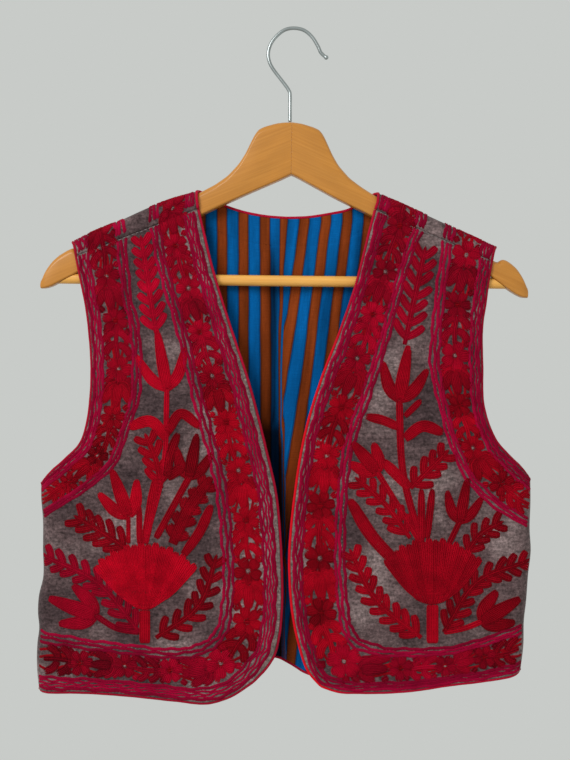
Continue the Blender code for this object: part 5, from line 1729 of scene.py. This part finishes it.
# Bands and plants of each panel, laid in rows of chain stitch. The back leaves out
# the innermost fern of each side, where its own tall plant grows.
backBands = (
    (bandBackArmholeLeft, "close"), (bandBackArmholeRight, "close"), (bandBackNeck, "slim"), (bandBackHem, "wide"),
)
stitched = {
    "left": (placeFront(leftFront), -1.0, ((bandArmholeLeft, "close"), (bandEdgeLeft, "wide")), fieldLeft),
    "right": (placeFront(rightFront), -1.0, ((bandArmholeRight, "close"), (bandEdgeRight, "slim")), fieldRight),
    "back": (
        placeBack, 1.0, backBands, fieldLeft[:21] + fieldLeft[22:] + fieldRight[:20] + fieldRight[21:] + fieldBack,
    ),
}
sewn = {}
for side, (place, outwardY, bands, field) in stitched.items():
    sides = backPanel["sides"] if side == "back" else frontPanels[side]["sides"]
    bandThreads = withinSides([row for table, kind in bands for row in bandRows(table, kind)], sides)
    borders = threadPiece("borders" + side.capitalize(), place, outwardY, bandThreads)
    plants = threadPiece("plants" + side.capitalize(), place, outwardY, withinSides(drawMotifs(field), sides))
    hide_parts("embroidery_" + side)
    sewn[side] = [borders, plants]

# Small pale running stitches along the shoulder seams.
seamStitches = {
    "first": 3.0,
    "last": 4.0,
    "every": 4.2,
    "length": 2.6,
    "width": 0.7,
    "height": 0.55,
    "drop": 0.9,            # they lie a little below the seam's own line
    "sway": 0.25,
    "colour": (0.21, 0.18, 0.18),
}


def makeSeamThread():
    made, tree, shader = newMaterial("paleThread")
    worn = noise(tree, objectPlace(tree), 300.0)
    pale = addNode(tree, "ShaderNodeRGB").outputs["Color"]
    pale.default_value = (*seamStitches["colour"], 1.0)
    finish(tree, shader, shade(tree, pale, worn, 0.85, 1.1), worn, 0.2, 0.0002, Roughness=0.8)
    return made


def seamRow(seam):
    # short threads lying across the drawn-in seam
    (x0, z0), (x1, z1) = seam
    length = math.hypot(x1 - x0, z1 - z0)
    rows = []
    for start in np.arange(seamStitches["first"], length - seamStitches["last"], seamStitches["every"]):
        share = np.array((start, start + seamStitches["length"])) / length
        sway = rng.uniform(-seamStitches["sway"], seamStitches["sway"])
        points = stacked(x0 + (x1 - x0) * share, z0 + (z1 - z0) * share - seamStitches["drop"] + sway)
        rows.append(chainRow(points, seamStitches["width"], (0.0, 0.5, 0.0), seamStitches["height"]))
    return rows


paleThread = makeSeamThread()
for side, panel in frontPanels.items():
    name = "seamStitches" + side.capitalize()
    sewn[side].append(threadPiece(name, placeFront(panel), -1.0, seamRow(panel["seam"]), paleThread))
print("embroidery made")

# Wooden hanger, tilted a little about its middle. Each station of an arm has
# its distance from the middle, top and bottom.
hanger = {
    "centre": (-4.6, 0.0, -110.0),
    "tilt": 0.9,
    "half": 6.0,            # half thickness, less at the last stations
    "thinEnd": (5.8, 5.4, 4.6, 3.4),
    "lip": 2.0,
    "lipShare": 0.2,
    "lipSteps": 7,
    "topSteps": 24,
    "stations": 150,
    "closer": 1.35,         # stations crowd towards the rounded outer end
    "corner": (1.6, 9),     # reach and steps that soften the corners between stations
    "joint": 0.25,          # bevel where the two arms meet
    "end": ((0.5, 1.6, 0.8, 0.9), (0.8, 3.0, 1.8, 2.0)),    # further out, lower, higher and thinner
    "sharp": 38.0,
    "grainSlope": 0.42,     # the grain runs along the arms
    "grainShift": 40.0,
    "grainDepth": 0.6,
    "barRadius": 5.0,
    "barGap": 0.36,
    "barLeft": -231.7,
    "barRight": -230.1,
    "barSides": 40,
    "barRings": 40,
    "wireRadius": 1.65,
    "ballRadius": 2.1,
    "ballLeast": 0.09,
    "wireSides": 20,
    "wirePoints": 260,
}
armStations = {
    "left": (
        (-2.28, -84.9, -133.5), (6, -85.4, -137.6), (12, -86.3, -140.3), (22, -89.2, -144.8), (28, -91.9, -147.5),
        (32, -97.4, -149.3), (40, -114.6, -153), (46, -124.2, -155.9), (56, -135.2, -160.6), (67, -143.2, -165.8),
        (79, -149.8, -171.7), (86, -153.2, -175), (112, -163.4, -187), (157, -182.4, -208), (184, -194.4, -221.8),
        (187, -203.4, -223.5), (193, -206.4, -226.9), (196.6, -203.6, -229), (202, -205.9, -231.9),
        (210, -211, -236.2), (216, -216.6, -239.4), (221, -223.6, -241), (224, -229.6, -241.2),
        (225.8, -235.2, -241.3),
    ),
    "right": (
        (2.34, -84.9, -133.5), (6, -85.4, -134.9), (12, -86.3, -138), (22, -89.2, -143.3), (28, -91.9, -146.5),
        (32, -97.4, -148.6), (40, -114.6, -152.9), (46, -124.6, -155.9), (56, -135.6, -160.6), (67, -143.6, -165.8),
        (79, -151, -171.8), (86, -154, -175.2), (116, -167, -189.2), (146, -180.4, -203.2), (166, -189.6, -213),
        (184, -197.8, -222), (187, -208, -224.2), (193, -211.2, -228.6), (196.6, -208.2, -231.2),
        (200, -208.4, -233.6), (205, -211.2, -237), (211, -216.4, -240.6), (216, -223.6, -242.8), (219, -229.4, -243),
        (221, -235.4, -243.1),
    ),
}
hookLine = (
    (-3.7, -84.3), (-3.7, -72), (-3.7, -59.5), (-4.9, -55.4), (-8.4, -50.2), (-19.2, -36), (-23, -28), (-23.6, -20.4),
    (-21.2, -12.6), (-15.8, -5.4), (-8.2, 0.2), (0.6, 1.65), (9.4, -0.4), (16.6, -6.4), (21.8, -14.6), (24.6, -20.6),
    (28.4, -24.4), (31.4, -26.3),
)


def tilted(points):
    # from the hanger's own frame to the vest's
    turn = math.radians(hanger["tilt"])
    x, y, z = points[..., 0], points[..., 1], points[..., 2]
    cx, cy, cz = hanger["centre"]
    return stacked(cx + x * math.cos(turn) + z * math.sin(turn), cy + y, cz - x * math.sin(turn) + z * math.cos(turn))


def armSection(distance, top, bottom, half):
    # upright section: bevelled below and round on top
    height = top - bottom
    roundHeight = min(half, height / 2.0)
    lip = min(hanger["lip"], height * hanger["lipShare"])
    outline = []
    for corner, start in ((-1.0, 180.0), (1.0, 270.0)):
        for angle in np.radians(np.linspace(start, start + 90.0, hanger["lipSteps"])):
            outline.append((corner * (half - lip) + lip * math.cos(angle), bottom + lip + lip * math.sin(angle)))
    for angle in np.linspace(0.0, math.pi, hanger["topSteps"] + 1):
        outline.append((half * math.cos(angle), top - roundHeight + roundHeight * math.sin(angle)))
    return [(distance, y, z - hanger["centre"][2]) for y, z in outline]


def loft(name, rings, finish, uvs):
    # closed body through rings of points
    rings = np.array(rings)
    count, sides = rings.shape[:2]
    index = np.arange(count * sides).reshape(count, sides)
    after = np.roll(index, -1, axis=1)
    faces = stacked(index[:-1], after[:-1], after[1:], index[1:]).reshape(-1, 4)
    faces = [tuple(face) for face in faces] + [tuple(index[0]), tuple(index[-1])]
    piece = meshObject(name, tilted(rings).reshape(-1, 3), faces, [finish], uv=np.array(uvs).reshape(-1, 2))
    flipOutward(piece)
    piece.data.set_sharp_from_angle(angle=math.radians(hanger["sharp"]))
    return piece


def softened(at, distances, values):
    # straight runs between the stations with their corners rounded a little
    reach, count = hanger["corner"]
    return np.interp(at[:, None] + np.linspace(-reach, reach, count), distances, values).mean(axis=1)


def makeArm(name, key, side):
    table = np.array(armStations[key])
    share = np.linspace(0.0, 1.0, hanger["stations"])
    at = table[0, 0] + (table[-1, 0] - table[0, 0]) * (1.0 - (1.0 - share) ** hanger["closer"])
    thick = np.full(len(table), hanger["half"])
    thick[-len(hanger["thinEnd"]):] = hanger["thinEnd"]
    top, bottom, half = (softened(at, table[:, 0], values) for values in (table[:, 1], table[:, 2], thick))
    bevel = hanger["joint"]
    places = [(at[0], top[0] - bevel, bottom[0] + bevel, half[0] - bevel)]
    places.append((at[0] + bevel, top[0], bottom[0], half[0]))
    places += list(zip(at[1:], top[1:], bottom[1:], half[1:]))
    # the end is rounded off
    distance, high, low, thick = places[-1]
    places += [(distance + out, high - lower, low + higher, thick - less) for out, lower, higher, less in hanger["end"]]
    rings, uvs = [], []
    slope, depth, shift = hanger["grainSlope"], hanger["grainDepth"], side * hanger["grainShift"]
    for place in places:
        section = armSection(*place)
        rings.append([(side * x, y, z) for x, y, z in section])
        uvs.append([(x, shift + y * depth + z + slope * x) for x, y, z in section])
    piece = loft(name, rings, armWood, uvs)
    return piece


def makeBar():
    # round bar, its ends cut to lie under the arms
    angles = np.linspace(0.0, 2.0 * math.pi, hanger["barSides"], endpoint=False)
    radius, ends = hanger["barRadius"], []
    for key, side, height in (("left", -1.0, hanger["barLeft"]), ("right", 1.0, hanger["barRight"])):
        table = np.array(armStations[key])[::-1]
        z = height + radius * np.sin(angles)
        distance = np.interp(z, table[:, 2] - hanger["barGap"], table[:, 0])
        ends.append(stacked(side * distance, radius * np.cos(angles), z - hanger["centre"][2]))
    rings = [ends[0] + (ends[1] - ends[0]) * share for share in np.linspace(0.0, 1.0, hanger["barRings"])]
    piece = loft("hangerBar", rings, barWood, [stacked(ring[:, 0], radius * angles) for ring in rings])
    return piece


def makeHook():
    # the wire ends in a small ball
    line = smoothLine(np.array(hookLine), hanger["wirePoints"])
    path = stacked(line[:, 0], 0.0, line[:, 1])
    left = lengthAlong(path)[-1] - lengthAlong(path)
    ball = hanger["ballRadius"]
    rounded = np.sqrt(np.clip(ball ** 2 - (left - ball) ** 2, hanger["ballLeast"], None))
    radii = np.where(left < ball, rounded, np.maximum(np.where(left < 2.0 * ball, rounded, 0.0), hanger["wireRadius"]))
    piece = tube("hangerHook", path, radii, hanger["wireSides"], platedWire)
    return piece


hangerPieces = {
    "hanger_arm_left": makeArm("hangerArmLeft", "left", -1.0),
    "hanger_arm_right": makeArm("hangerArmRight", "right", 1.0),
    "hanger_bar": makeBar(),
    "hanger_hook": makeHook(),
}
for node, piece in hangerPieces.items():
    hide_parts(node)
print("hanger made")

# Each sheet's cut, in metres, as wide and long as its pattern piece, and its cords.
sheetCuts = {
    "left": (0.225, 0.450, ("piping_front_left",)),
    "right": (0.220, 0.440, ("piping_front_right",)),
    "back": (0.460, 0.500, ("piping_neck", "piping_hem_back", "piping_armhole_left", "piping_armhole_right")),
    "lining": (0.420, 0.430, ()),
}
for side, (width, length, edges) in sheetCuts.items():
    print(side, "cloth area", round(clothArea(panels[side]), 4))

# Camera, light and floor.
studio = {
    "camera": (-0.0083, -1.05, -0.322),
    "film": 36.0,
    "lens": 54.06,
    "air": (0.578, 0.597, 0.578),
    "airStrength": 1.0,
    "keyPlace": (-1.15, -1.75, 0.75),
    "keyAim": (0.0, 0.0, -0.34),
    "keySize": 1.1,
    "keyPower": 26.0,
    "floorHeight": -1.55,
    "floorSize": 3.0,
}


def makeCamera():
    data = bpy.data.cameras.new("camera")
    data.sensor_fit = "VERTICAL"
    data.sensor_height, data.lens = studio["film"], studio["lens"]
    camera = addObject("camera", data)
    camera.location = studio["camera"]
    camera.rotation_euler = (math.radians(90.0), 0.0, 0.0)
    bpy.context.scene.camera = camera


def makeLight():
    data = bpy.data.lights.new("key", "AREA")
    data.shape = "DISK"
    data.size = studio["keySize"]
    data.energy = studio["keyPower"]
    light = addObject("key", data)
    light.location = studio["keyPlace"]
    aim = Vector(studio["keyAim"]) - Vector(studio["keyPlace"])
    light.rotation_euler = aim.to_track_quat("-Z", "Y").to_euler()


def makeAir():
    world = bpy.data.worlds.new("air")
    world.use_nodes = True
    background = world.node_tree.nodes["Background"]
    background.inputs["Color"].default_value = (*studio["air"], 1.0)
    background.inputs["Strength"].default_value = studio["airStrength"]
    bpy.context.scene.world = world


def makeFloor():
    half, height = studio["floorSize"] / 2.0, studio["floorHeight"]
    data = bpy.data.meshes.new("floor")
    corners = ((-half, -half), (half, -half), (half, half), (-half, half))
    data.from_pydata([(x, y, height) for x, y in corners], [], [(0, 1, 2, 3)])
    made, tree, shader = newMaterial("paleFloor")
    pale = ramp(tree, noise(tree, objectPlace(tree), 3.0), ((0.3, (0.56, 0.56, 0.55)), (0.7, (0.62, 0.62, 0.61))))
    finish(tree, shader, pale, Roughness=0.9, Specular_IOR_Level=0.1)
    data.materials.append(made)
    addObject("floor", data)


makeCamera()
makeLight()
makeAir()
makeFloor()
bpy.context.scene.view_settings.view_transform = "Standard"

triangles = {
    piece.name: sum(len(face.vertices) - 2 for face in piece.data.polygons)
    for piece in bpy.context.scene.objects if piece.type == "MESH" and not piece.hide_render
}
print("triangles", sum(triangles.values()), triangles)
